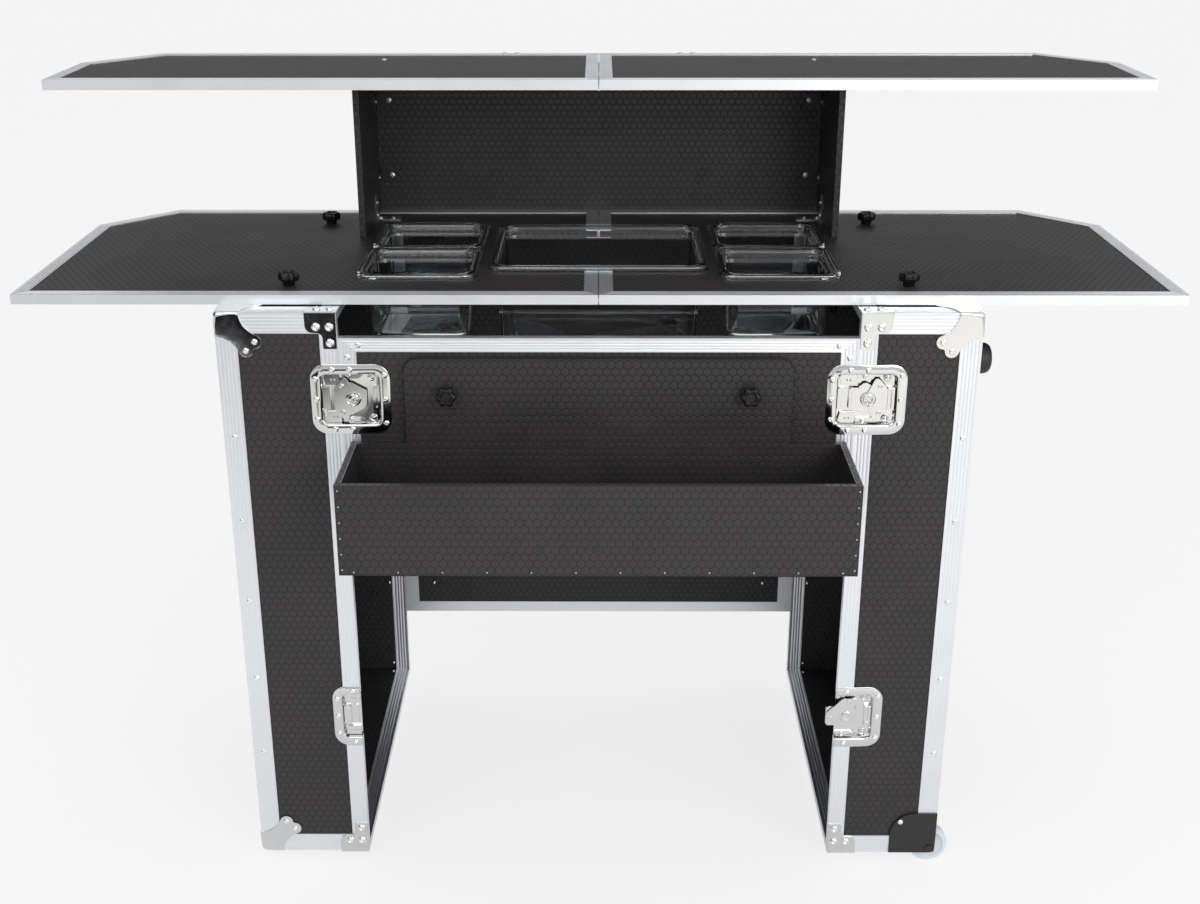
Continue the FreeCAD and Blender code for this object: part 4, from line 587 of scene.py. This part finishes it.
# The tails of a few rivets, inside the legs' rear bottom corners and on the back of the fascia
tails = Form()
column, level = BAY + 30.0, 217.0
inside = box("right_leg_panels")[1].y - PANEL
skin = box("fascia_panel")[0].y
for side in (LEFT, RIGHT):
    for x, y, z, out in ((column, inside, level, (0, -1, 0)), (column, inside, LEG_BOTTOM + 24.0, (0, -1, 0)),
                         (column, inside - 12.0, LEG_BOTTOM + PANEL + WALL, (0, 0, 1)),
                         (307.0, skin, level, (0, -1, 0))):
        tails.lathe(TAIL, facing((side * x, y, z), out), 14)
tails.build("rivet_tails", RIVETED, "bright_steel", angle=50.0)


# Ball corners: three flaps with scooped sides and two lobes each, drawn together to a rounded tip
SCOOP_AT, SCOOP_CLEAR = 72.0, 37.5
FOLD_LINES = (0.0, 0.5, 1.1, 1.8, 2.6, 3.4, 4.3, 5.4, 6.8, 8.5, 11.0, 14.5, 19.0, 25.0, 32.0, 40.0)


def flap_outline():
    """A flap's outline, with its two folds along the axes."""
    near, far, lobe = 43.2, 55.6, 10.0
    scoop = math.hypot(SCOOP_AT - far, near) - lobe
    lean = math.degrees(math.atan2(near, SCOOP_AT - far))
    half = [*arc((SCOOP_AT, 0), scoop, 180, 180 - lean, 16), *arc((far, near), lobe, -lean, 120, 14)[1:]]
    half = [spot for spot in half if spot[0] > spot[1]]
    return half + [(y, x) for x, y in reversed(half)]


def cap_skin(form, matrix):
    """The outside of a cap whose own axes run inwards from its corner."""
    rim = [Vector(spot) for spot in flap_outline()]
    folds = [(x, 0.0) for x in FOLD_LINES if x < rim[0][0] - 1.0]
    border = [*map(Vector, folds), *rim, *[Vector((y, x)) for x, y in reversed(folds[1:])]]
    inner = [Vector((x, y)) for x in FOLD_LINES[1:] for y in FOLD_LINES[1:]
             if min((Vector((x, y)) - spot).length for spot in rim) > 1.2
             and math.hypot(x - SCOOP_AT, y) > SCOOP_CLEAR and math.hypot(x, y - SCOOP_AT) > SCOOP_CLEAR]
    flat, _, faces, *_ = delaunay_2d_cdt([*border, *inner], [], [list(range(len(border)))], 1, 1e-4)

    def shape(spot):
        """Rounds the cube's edges, the more the nearer they come to its corner."""
        near = max(0.0, 1.0 - max(spot) / 26.0)
        round_off = 3.3 + 3.7 * near * near * (3 - 2 * near)
        core = Vector([max(value, round_off) for value in spot])
        return core + (Vector(spot) - core).normalized() * round_off

    for spots in ([(x, y, 0.0) for x, y in flat],
                  [(0.0, x, y) for x, y in flat],
                  [(y, 0.0, x) for x, y in flat]):
        form.add([shape(spot) for spot in spots], faces, matrix)


CORNERS = [(side, y, face, z, end) for side in (LEFT, RIGHT) for y, face in FACES for z, end in ENDS]

caps = Form()
for side, y, face, z, end in CORNERS:
    if side == LEFT or z == LEG_TOP:  # the castors take the other two
        tip = (side * (OUTSIDE + CAP_SHEET), y - face * CAP_SHEET, z - end * CAP_SHEET)
        cap_skin(caps, axes((-side, 0, 0), (0, face, 0), (0, 0, end), tip))
corner_pressings = caps.build("corner_pressings", STEEL, "bright_steel", replaces=["corner_caps"], angle=60.0)
sheet = corner_pressings.modifiers.new("sheet", "SOLIDIFY")
sheet.thickness = CAP_SHEET * MM
sheet.offset = -1.0
soften(corner_pressings, 0.4, 50.0)
corner_pressings.modifiers.new("flats", "WEIGHTED_NORMAL")

# Corner braces: a rounded L on the face and a lip over the end
BRACE_FACE = [(0.5, -1.5), (44, -1.5), *arc((33, 18), 11, 0, 75, 7), *arc((29, 37.5), 9, 250, 180, 5),
              (20, 50.5), (18.5, 52), (0.5, 52)]
BRACE_END = [(0.5, -1.5), (44, -1.5), (44, 19), *arc((38, 19), 6, 0, 90, 4), *arc((6.5, 19), 6, 90, 180, 4)]

braces = Form()
for side, y, face, z, end in CORNERS:
    corner = (side * BAY, y, z)
    braces.plate(BRACE_FACE, 0.0, CAP_SHEET, axes((side, 0, 0), (0, 0, end), (0, -face, 0), corner))
    braces.plate(BRACE_END, 0.0, CAP_SHEET, axes((side, 0, 0), (0, face, 0), (0, 0, -end), corner))
braces.build("brace_plates", STEEL, "bright_steel", replaces=["corner_braces"], bevel=0.35)


# Latches. Their own X runs away from the split, and their own Z points out of the case
def shifted(matrix, x, y=0.0, z=0.0):
    """A place moved along its own axes."""
    return matrix @ Matrix.Translation((x, y, z))


def half_outline(end, half, corner):
    """The open outline of a half dish, from the split round its rounded end and back."""
    waist = (end - corner) / 2
    return [(0.0, -half), (waist, -half), *arc((end - corner, corner - half), corner, -90, 0, 10),
            *arc((end - corner, half - corner), corner, 0, 90, 10), (waist, half), (0.0, half)]


def dish(form, width, matrix):
    """A pressed half dish with a stepped flange, a rounded mouth and a filleted well."""
    def flange(x):
        """The flange lies on the profile, and drops to the panel beyond it."""
        share = min(1.0, max(0.0, (x - 24.6) / 1.6))
        return 1.2 - 1.5 * share * share * (3 - 2 * share)

    skin = []
    for inset, corner, height in (
            (0.0, 22.0, -1.2), (0.3, 21.7, -0.3), (0.8, 21.2, 0.0), (11.6, 11.4, 0.0), (13.0, 10.0, -0.25),
            (14.2, 8.8, -0.9), (15.0, 8.0, -2.2), (15.6, 7.4, -8.3), (16.6, 6.4, -9.4),
            (18.0, 5.0, WELL_FLOOR)):
        outline = half_outline(width - inset, LATCH_HALF - inset, corner)
        skin.append([(x, y, height + (flange(x) if inset <= FLANGE else 0.0)) for x, y in outline])
    pressed = len(skin)
    skin += [[(x, y, z - 1.2) for x, y, z in row] for row in skin[:0:-1]]
    count = len(skin[0])
    faces = []
    for row in range(len(skin)):
        here, there = row * count, (row + 1) % len(skin) * count
        if row != pressed - 1:
            faces += [[here + a, here + a + 1, there + a + 1, there + a] for a in range(count - 1)]
    faces += [list(range(row * count, (row + 1) * count)) for row in (pressed - 1, pressed)]
    form.add([spot for row in skin for spot in row], faces, matrix)


def keeper_trim(form, matrix):
    """The catch plate of a keeper and the two welded tabs above and below it."""
    form.plate([(4.6, -15), (7, -15), (7, 15), (4.6, 15)], WELL_FLOOR, -6.4, matrix)
    catch = [(15.6, -16), (22, -16), *arc((23, -13), 3, -90, 0, 3), *arc((23, 13), 3, 0, 90, 3), (15.6, 16)]
    form.plate(catch, WELL_FLOOR, -3.6, matrix)
    form.plate([(18.0, -11), (21.0, -11), (21.0, 11), (18.0, 11)], -3.7, -3.1, matrix)
    for way in (-1, 1):
        tab = [(1.5, 20), (21, 20), *arc((19, 31), 5, 0, 90, 4), (1.5, 36)]
        form.plate([(x, way * y) for x, y in tab], WELL_FLOOR, -5.0, matrix)
        for x in (8.0, 13.0):
            place = shifted(matrix, x, way * 28, -5.0)
            form.lathe([(0, 0), (1.9, 0), (1.5, 0.7), (0.6, 1.0), (0, 1.0)], place, 12)


EYELET = [(0, 0), (3.5, 0), (3.4, 0.5), (2.9, 0.75), (2.4, 0.6), (2.1, 0.05), (1.6, 0.05), (1.3, 0.45),
          (0.6, 0.6), (0, 0.6)]
POST = [(0, 0), (5.6, 0), (5.6, 2.2), (5.1, 2.9), (3.9, 3.1), (3.3, 2.4), (2.6, 2.2), (2.2, 3.0), (1.0, 3.4),
        (0, 3.4)]


def turn_trim(form, matrix):
    """The pivot, the guide straps, the corner posts and the slotted end plate beside the turn piece."""
    form.lathe([(0, WELL_FLOOR), (4.0, WELL_FLOOR), (4.0, -3.8), (0, -3.8)], shifted(matrix, PIVOT), 24)
    for way in (-1, 1):
        strap = [(1.5, 28.5), (24, 28.5), (31, 33), (31, 37.5), (1.5, 37.5)]
        form.plate([(x, way * y) for x, y in strap], WELL_FLOOR, -7.2, matrix)
        form.lathe([(0, 0), (3.4, 0), (3.2, 0.9), (2.2, 1.5), (1.0, 1.5), (0.7, 1.0), (0, 1.0)],
                   shifted(matrix, 11, way * 33, -7.2), 16)
        form.lathe(POST, shifted(matrix, 43, way * 30.5, WELL_FLOOR), 24)
        ear = [(44.5, 14), (54, 14), (54, 17), (44.5, 17)]
        form.plate([(x, way * y) for x, y in ear], WELL_FLOOR, -4.6, matrix)
    for x in (44.5, 50.6):
        form.plate([(x, -16), (x + 3.4, -16), (x + 3.4, 16), (x, 16)], WELL_FLOOR, -4.2, matrix)


def hook_form():
    """The sheet hook: a waisted plate with a folded tip and a pressed rib, slotted for the pivot."""
    form = Form()
    slot = [*arc((PIVOT, 0), 4.3, 90, 270, 8), *arc((PIVOT + 5, 0), 4.3, -90, 90, 8)]
    top = [(-10, 13.6), (-7, 16.6), (4, 16.6), (8.5, 23.0), (14, 24.0), (36, 12.0)]
    outline = [*[(x, -y) for x, y in top], *reversed(top)]
    spots = [(*spot, height) for height in (-6.0, -4.0) for spot in (*outline, *slot)]
    count, hole = len(outline), len(slot)
    total = count + hole
    loops = [(step, (step + 1) % count) for step in range(count)]
    loops += [(count + step, count + (step + 1) % hole) for step in range(hole)]
    form.add(spots, [[a, b, total + b, total + a] for a, b in loops])
    work = bmesh.new()
    for base in (0, total):
        rim = [work.verts.new(spots[base + step]) for step in range(total)]
        edges = [work.edges.new((rim[a], rim[b])) for a, b in loops]
        bmesh.ops.triangle_fill(work, use_beauty=True, edges=edges)
    work.verts.index_update()
    faces = [[spot.index for spot in face.verts] for face in work.faces]
    form.add([spot.co.copy() for spot in work.verts], faces)
    work.free()
    form.plate([(-10, -14.5), (-7.6, -14.5), (-7.6, 14.5), (-10, 14.5)], -9.2, -5.9)
    form.plate([(-6.4, -11), (-2.2, -11), (-2.2, 11), (-6.4, 11)], -4.05, -3.75)
    for way in (-1, 1):
        place = Matrix.Translation((5.5, way * 17.5, -4.0))
        form.lathe([(0, 0), (2.6, 0), (2.3, 0.25), (0, 0.25)], place, 14)
    return form


def turn_form():
    """The butterfly: a hub with two dimples in a round plate, and a wing that half surrounds it."""
    form = Form()
    low, high = -3.7, -1.3
    form.lathe([(0, low), (11.0, low), (11.0, low + 0.6), (10.6, low + 0.8), (7.6, low + 0.8), (7.5, -1.2),
                (7.1, -0.9), (6.3, -0.85), (5.9, -1.05), (0, -1.05)], segments=36)
    for way in (-1, 1):
        form.lathe([(0, -1.1), (1.9, -1.1), (1.7, -0.85), (1.3, -0.8), (1.0, -1.0), (0, -1.0)],
                   Matrix.Translation((way * 3.2, 0, 0)), 16)
        form.lathe(EYELET, Matrix.Translation((15.5, way * 19.5, high)), 20)
    wing = [(-1.0, -10.6), (7.5, -28.5), (9.0, -30.5), (12.0, -31), (16, -28.5), (20, -24), (25.5, -17),
            (26.5, -15)]
    wing += [(x, -y) for x, y in reversed(wing)]
    form.plate([*wing, *arc((0, 0), 10.4, 95, -95, 16)], low + 0.4, high)
    return form


def latch_part(form, word, name, place):
    """Builds a hook or a turn piece on its own body."""
    node = f"latch_{word}_{name}"
    form.move(place)
    form.build(f"{word}_{name}", STEEL, "bright_steel", body=node, replaces=[node], bevel=0.3)


# The lower latches at the front have no panel beside them: the right one is open, the left one is a catch
OPENED, FLIPPED = "front_lower_right", "front_upper_left"
dishes, keepers = Form(), Form()
for (word, (y, face)), level, (side_word, side) in itertools.product(
        zip(("front", "rear"), FACES), ("upper", "lower"), SIDES):
    name = f"{word}_{level}_{side_word}"
    alone = word == "front" and level == "lower"
    spot = (side * BAY, y, LATCH_LEVELS[level])
    outwards = Vector((0, -face, 0))
    away = Vector((1, 0, 0))
    if side == RIGHT or not alone:
        place = axes(away, outwards.cross(away), outwards, spot)
        dish(dishes, TURN_DISH, place)
        turn_trim(dishes, place)
        latch_part(hook_form(), "hook", name, shifted(place, -3.75 if name == OPENED else 0.0))
        angle = {OPENED: 135.0, FLIPPED: 180.0}.get(name, 0.0)
        turned = shifted(place, PIVOT) @ Matrix.Rotation(math.radians(angle), 4, "Z")
        latch_part(turn_form(), "turn", name, turned)
    if side == LEFT or not alone:
        place = axes(-away, outwards.cross(-away), outwards, spot)
        dish(keepers, KEEPER_DISH, place)
        keeper_trim(keepers, place)
dishes.build("latch_pressings", STEEL, "bright_steel", replaces=["latch_dishes"], angle=40.0)
keepers.build("keeper_pressings", STEEL, "bright_steel", replaces=["latch_keepers"], angle=40.0)

# Feet: four under the legs, and two domes on the right leg's side
FOOT = [(0, 0), (22.5, 0), (22.5, 11.0), (22.1, 14.5), (21.0, 18.0), (19.6, 21.2), (18.6, 22.9), (17.6, 23.5),
        (7, 23.5), (6, 21.5), (0, 21.5)]
DOME = [(0, 0), (22.5, 0), (22.5, 20.5), (22.0, 24.5), (20.6, 28.0), (18.2, 30.6), (14.5, 32.2), (8.5, 32.9),
        (0, 33.0)]
feet = Form()
leg_middle = (BAY + OUTSIDE) / 2
for side in (LEFT, RIGHT):
    for y in (LEG_FRONT + 60, LEG_REAR - 60):
        feet.lathe(FOOT, facing((side * leg_middle, y, LEG_BOTTOM + WALL), (0, 0, -1)), 40)
for y in (LEG_FRONT + 72, LEG_REAR - 72):
    feet.lathe(DOME, facing((OUTSIDE - WALL, y, LEG_TOP - 88), (1, 0, 0)), 40)
feet.build("feet", RUBBER, "black_rubber", replaces=["rubber_feet"], angle=40.0)


# Knobs and castor wheels
def star(radius, height, steps=72):
    """A ring of a six-lobed knob."""
    spots = []
    for step in range(steps):
        turn = 2 * math.pi * step / steps
        wave = math.cos(6 * turn)
        reach = radius * (0.885 + 0.115 * math.copysign(abs(wave) ** 0.75, wave))
        spots.append((reach * math.cos(turn), reach * math.sin(turn), height))
    return spots


def knob_form():
    """A star knob, from its collar to its cupped top."""
    form = Form()
    form.lathe([(4.2, 0), (8.2, 0), (8.5, 0.5), (8.5, 4.6), (9.6, 6.2), (10.5, 6.4)], segments=36)
    lobed = ((10.2, 6.0), (12.6, 6.3), (14.2, 7.4), (14.9, 9.2), (15.0, 13.0), (14.8, 15.6), (14.1, 17.4),
             (12.9, 18.5), (11.2, KNOB_TALL))
    cup = ((8.0, KNOB_TALL), (7.3, 18.6), (6.9, 17.0), (6.6, 16.5), (0.01, 16.4))
    form.loft([*[star(*row) for row in lobed], *[circle(*row, 72) for row in cup]])
    return form


def stud_form(reach):
    """A knob's threaded stud, pointing down."""
    form = Form()
    profile = [(0, 0.5), (3.9, 0.4)]
    level = 0.0
    while level > -reach + 1.5:
        profile += [(3.95, level), (3.55, level - 0.6)]
        level -= 1.25
    profile += [(3.3, -reach + 0.4), (2.8, -reach), (0, -reach)]
    form.lathe(profile, segments=20)
    return form


for node in ("counter_knob_front_left", "counter_knob_front_right", "counter_knob_rear_left",
             "counter_knob_rear_right", "tray_knob_left", "tray_knob_right"):
    low, high = box(node)
    middle = (low + high) / 2
    if node.startswith("tray"):
        place = facing((middle.x, low.y + KNOB_TALL, middle.z), (0, -1, 0))
        reach = high.y - low.y - KNOB_TALL
    else:
        place = facing((middle.x, middle.y, high.z - KNOB_TALL), (0, 0, 1))
        reach = high.z - low.z - KNOB_TALL
    knob, stud = knob_form(), stud_form(reach)
    knob.move(place)
    stud.move(place)
    knob.build(f"{node}_head", PLASTIC, "knob_plastic", body=node, replaces=[node], angle=50.0)
    stud.build(f"{node}_stud", ZINC, "zinc_steel", body=node, angle=20.0)

TYRE = [(4.05, -15.2), (7.6, -15.2), (8.0, -14.8), (8.0, -9.0), (9.5, -8.2), (20.5, -8.2), (22.0, -9.0),
        (23.2, -11.0), (26.5, -11.0), (28.6, -10.2), (29.7, -8.2), (30.0, -5.5)]
TYRE += [(radius, -height) for radius, height in reversed(TYRE)]
for node in ("castor_wheel_front", "castor_wheel_rear"):
    low, high = box(node)
    wheel = Form()
    wheel.lathe([*TYRE, TYRE[0]], facing((low + high) / 2, (0, 1, 0)), 56)
    wheel.faces = [face for face in wheel.faces if len(face) == 4]
    wheel.build(f"{node}_tyre", WHEEL, "wheel_plastic", body=node, replaces=[node], angle=40.0)


# Food pans
def pan_form(node, depth):
    """A clear pan as one skin: inside, over the rim, down the lip and back under to the outside."""
    low, high = box(node)
    middle = (low + high) / 2
    slope = math.tan(math.radians(3.0))
    outer, wall = PAN_RIM, 2.5
    inner = outer + wall
    rows = []

    def row(inset, height, corner):
        """A ring with rounded corners, so far inside the pan's box and above the counter."""
        half_x, half_y = (high.x - low.x) / 2 - inset - corner, (high.y - low.y) / 2 - inset - corner
        turns = ((half_x, half_y, 0), (-half_x, half_y, 90), (-half_x, -half_y, 180), (half_x, -half_y, 270))
        rows.append([(*spot, height) for x, y, start in turns
                     for spot in arc((x, y), corner, start, start + 90, 7)])

    floor = PAN_LIP - depth + wall
    deep = (PAN_LIP - floor) * slope
    for extra, rise, corner in ((14.0, 0.0, 6.0), (7.0, 0.5, 10.0), (3.0, 2.2, 14.0), (0.8, 5.5, 16.0),
                                (0.0, 10.0, 17.0), (0.0, 12.0, 17.0)):
        row(inner + deep - rise * slope + extra, floor + rise, corner)
    for drop, extra, corner in ((15.0, 0.6, 19.0), (12.5, 0.6, 19.0), (9.0, -0.9, 20.0), (7.0, -0.9, 20.0)):
        row(inner + (PAN_LIP + drop) * slope + extra, -drop, corner)
    for inset, height, corner in (
            (inner + 1.2, 0.5, 21.0), (inner + 0.9, 2.6, 21.5), (inner, 4.6, 22.0), (inner - 1.6, 6.0, 22.5),
            (inner - 3.6, 6.6, 22.0), (5.6, 6.4, 21.0), (5.2, 5.6, 20.6), (4.7, 5.2, 20.4), (4.2, 5.6, 20.2),
            (3.6, 6.8, 20.2), (2.6, PAN_LIP, 20.4), (1.2, 6.6, 21.0), (0.3, 5.6, 21.8), (0.0, 4.2, 22.0),
            (0.0, 0.5, 22.0), (0.5, 0.0, 21.5), (2.1, 0.0, 20.0), (2.5, 0.6, 19.5), (2.5, 3.0, 19.5),
            (3.2, 3.8, 18.6), (8.0, 3.8, 15.0), (9.2, 3.0, 14.0)):
        row(inset, height, corner)
    for drop, lower, extra, corner in ((7.0, 7.5, -0.9, 14.5), (9.0, 9.5, -0.9, 14.5),
                                       (12.5, 12.5, 0.6, 14.0), (15.0, 15.0, 0.6, 14.0)):
        row(outer + (PAN_LIP + drop) * slope + extra, -lower, corner)
    floor, deep = PAN_LIP - depth, depth * slope
    for extra, rise, corner in ((0.0, 14.5, 14.0), (0.0, 12.0, 14.0), (0.7, 6.5, 13.5), (2.8, 2.8, 12.5),
                                (6.5, 0.7, 9.0), (13.0, 0.0, 5.0)):
        row(outer + deep - rise * slope + extra, floor + rise, corner)
    form = Form()
    form.loft(rows, Matrix.Translation((middle.x, middle.y, high.z - PAN_LIP)))
    return form


for node, depth in (("pan_front_left", 100.0), ("pan_front_right", 100.0), ("pan_rear_left", 100.0),
                    ("pan_rear_right", 100.0), ("pan_centre", 150.0)):
    pan = pan_form(node, depth)
    pan.build(f"{node}_moulding", CLEAR, "clear_plastic", body=node, replaces=[node], angle=60.0)


# Handle bails: a bent wire with a moulded grip
def tube(form, points, radius, segments=14):
    """A round wire along points."""
    points = [Vector(point) for point in points]
    turns = [2 * math.pi * step / segments for step in range(segments)]
    rings = []
    side = None
    for index, point in enumerate(points):
        before, after = points[max(0, index - 1)], points[min(len(points) - 1, index + 1)]
        way = (after - before).normalized()
        if side is None:
            side = way.orthogonal().normalized()
        side = (side - way * side.dot(way)).normalized()
        other = way.cross(side)
        rings.append([point + (side * math.cos(turn) + other * math.sin(turn)) * radius for turn in turns])
    form.loft(rings)


ARM, BAIL_LOW, BAIL_HIGH, BEND, BAIL_SUNK = 53.0, -20.0, 24.0, 8.0, -8.0
BAIL = [(64.8, BAIL_HIGH), *arc((ARM + 6, BAIL_HIGH - 6), 6, 90, 180, 5),
        *arc((ARM - BEND, BAIL_LOW + BEND), BEND, 0, -90, 6), (0.0, BAIL_LOW)]
BAIL += [(-x, y) for x, y in reversed(BAIL[:-1])]
GRIP = [(3.2, -46), (5.6, -46), (6.4, -45), (6.5, -43.5)]
for step in range(-9, 10):
    GRIP += [(6.5, step * 4.5 - 1.2), (6.1, step * 4.5), (6.5, step * 4.5 + 1.2)]
GRIP += [(6.5, 43.5), (6.4, 45), (5.6, 46), (3.2, 46)]
for word, side in SIDES:
    node = f"handle_bail_{word}"
    place = axes((0, side, 0), (0, 0, 1), (side, 0, 0),
                 (side * (OUTSIDE - WALL), (LEG_FRONT + LEG_REAR) / 2, LEG_BOTTOM + 520))
    wire, grip = Form(), Form()
    tube(wire, [(x, y, BAIL_SUNK) for x, y in BAIL], 3.0)
    wire.move(place)
    wire.build(f"{node}_wire", POWDER, "black_steel", body=node, replaces=[node], angle=50.0)
    grip.lathe(GRIP, place @ facing((0, BAIL_LOW, BAIL_SUNK), (1, 0, 0)), 28)
    grip.build(f"{node}_grip", RUBBER, "black_rubber", body=node, angle=40.0)

# Pale strips along the laminate's edges on top of the tray's ends, painted highlights where those edges catch
# the light, and the brads in its front board
tray_low, tray_high = box("speed_rail_tray")
tray_top = tray_low.z + 132.0
edge_highlights = Form()
for side in (LEFT, RIGHT):
    for inset in (0.25, 7.85):
        heel = side * (tray_high.x - inset)
        low, high = sorted((heel, heel - side * 0.9))
        edge_highlights.block((low, tray_low.y + 9.0, tray_top - 0.6), (high, LEG_FRONT - 9.2, tray_top + 0.06))
edge_highlights.build("tray_edge_highlights", EDGE_HIGHLIGHT, "black_laminate", angle=30.0)
BRAD = [(0, 0), (1.1, 0), (1.0, 0.12), (0.6, 0.2), (0, 0.22)]
BRAD_INSET = 4.5
brads = Form()
places = [(x, tray_low.z + 8 + step * 23.2) for x in (tray_low.x + BRAD_INSET, tray_high.x - BRAD_INSET)
          for step in range(6)]
places += [(tray_low.x + 20 + step * 60.0, tray_low.z + BRAD_INSET) for step in range(12)]
for x, z in places:
    brads.lathe(BRAD, facing((x, tray_low.y, z), (0, -1, 0)), 10)
brads.build("tray_brads", ZINC, "zinc_steel", angle=60.0)

# What the frame shows as it is
for node in ("left_leg_panels", "right_leg_panels", "apron_panel", "fascia_panel", "riser_panels",
             "lower_counter_boards", "upper_counter_boards", "speed_rail_tray"):
    carry(node, LAMINATE, 0.5)
carry("castor_brackets", POWDER, 0.6)
carry("castor_axles", POWDER, 0.5)
carry("handle_dishes", STEEL, 0.4)
carry("counter_hinges", ZINC, 0.3)
carry("riser_angles", POWDER, 0.3)
carry("riser_foot_brackets", STEEL, 0.3)


# Stage, light and camera
def staged(name, material, wide, near, far, height):
    """A flat rectangle that isn't part of the bar."""
    mesh = bpy.data.meshes.new(name)
    corners = [(-wide, near, height), (wide, near, height), (wide, far, height), (-wide, far, height)]
    mesh.from_pydata([Vector(corner) * MM for corner in corners], [], [[0, 1, 2, 3]])
    item = new_object(name, mesh)
    mesh.materials.append(material)
    return item


def floor():
    """A pale floor that the camera sees as white, apart from the bar's shadow."""
    paint = Paint("pale_floor", roughness=0.9, specular_ior_level=0.1)
    paint.wire(Base_Color=paint.tint(paint.noise(3.0), (0.93, 0.93, 0.935), (0.95, 0.95, 0.955)))
    path = paint.node("LightPath").outputs
    white = paint.node("Emission", (1, 1, 1, 1), 1.0).outputs[0]
    direct = paint.math("MAXIMUM", path["Is Camera Ray"], path["Is Transmission Ray"])
    depth = paint.split(paint.place())[1]
    mirrored = paint.math("MULTIPLY", path["Is Glossy Ray"], paint.span(depth, -0.2, 0.5, 0.3, 1.0))
    share = paint.math("MULTIPLY", paint.math("MAXIMUM", direct, mirrored), 0.76)
    mix = paint.node("MixShader", share, paint.shader.outputs[0], white)
    paint.tree.links.new(mix.outputs[0], paint.tree.nodes["Material Output"].inputs["Surface"])
    staged("floor", paint.material, 30000, -30000, 30000, 0)


def flag():
    """A graded card in front of the bar, which only mirrored rays see: dark at the far left."""
    paint = Paint("graded_card", roughness=1.0, specular_ior_level=0.0)
    across, along, _ = paint.split(paint.place())
    band = paint.math("MULTIPLY", paint.span(across, -0.9, -0.6, 1.0, 0.0),
                      paint.span(across, -1.2, -0.9, 0.0, 1.0))
    depth = paint.total((along, 1.0), (band, -0.55))
    shade = paint.math("MAXIMUM", paint.span(depth, -3.0, -2.3, 0.0, 1.0),
                       paint.span(across, -0.35, 0.35, 0.0, 1.0))
    paint.wire(Base_Color=paint.tint(shade, (0.01, 0.011, 0.014), (0.96, 0.94, 0.91)))
    card = staged("flag", paint.material, 2600, -4300, -2000, 4)
    for kind in ("camera", "diffuse", "shadow", "transmission", "volume_scatter"):
        setattr(card, f"visible_{kind}", False)


def world():
    """Soft white all round. Surfaces mirror a darker band behind the bar and on its left."""
    made = bpy.data.worlds.new("studio")
    bpy.context.scene.world = made
    made.use_nodes = True
    nodes = Nodes(made.node_tree)
    nodes.tree.nodes.clear()
    ways = nodes.split(nodes.node("TexCoord").outputs["Generated"])

    def band(axis, *spans):
        """A soft step across the sky."""
        return nodes.span(ways[axis], *spans, interpolation_type="SMOOTHSTEP")

    behind = nodes.math("MAXIMUM", band(1, 0.05, 0.7, 1.0, 0.1), band(2, 0.18, 0.5, 0.0, 0.9))
    ahead = nodes.math("MULTIPLY", band(1, -1.0, -0.2, 0.6, 1.0), behind)
    mirrored = nodes.math("MULTIPLY", ahead, band(0, -0.95, -0.3, 0.12, 1.0))
    soft, dim, full = [nodes.node("Background", (1, 1, 1, 1), level).outputs[0]
                       for level in (0.64, mirrored, 1.0)]
    path = nodes.node("LightPath").outputs
    direct = nodes.math("MAXIMUM", path["Is Camera Ray"], path["Is Transmission Ray"])
    lit = nodes.node("MixShader", path["Is Glossy Ray"], soft, dim).outputs[0]
    nodes.node("OutputWorld", nodes.node("MixShader", direct, lit, full).outputs[0])


def light(name, spot, aim, size, power):
    """A soft area lamp."""
    lamp = bpy.data.lights.new(name, "AREA")
    lamp.shape = "RECTANGLE"
    lamp.size, lamp.size_y = size
    lamp.energy = power
    item = new_object(name, lamp)
    item.location = spot
    item.rotation_euler = (Vector(aim) - Vector(spot)).to_track_quat("-Z", "Y").to_euler()


def camera():
    """The photograph's view, from a fit of the bar's straight edges. The fit's own numbers are in pixels."""
    picture, focal, shift_x, shift_y = 1200.0, 1529.9, 10.84, -16.96
    lens = bpy.data.cameras.new("camera")
    lens.sensor_fit = "HORIZONTAL"
    lens.sensor_width = 36.0
    lens.lens = lens.sensor_width * focal / picture
    lens.shift_x, lens.shift_y = shift_x / picture, shift_y / picture
    lens.clip_start, lens.clip_end = 0.05, 200.0
    item = new_object("camera", lens)
    item.location = (0.0005, -2.2203, 1.5109)
    item.rotation_euler = (math.radians(90.0 - 21.25), math.radians(0.06), math.radians(0.36))
    bpy.context.scene.camera = item


floor()
flag()
world()
light("key", (-1.4, -2.8, 3.0), (0, 0, 0.6), (2.6, 2.0), 28.0)
light("fill", (2.0, -3.2, 1.9), (0, 0, 0.6), (2.2, 1.6), 46.0)
camera()
bpy.context.scene.view_settings.view_transform = "Standard"
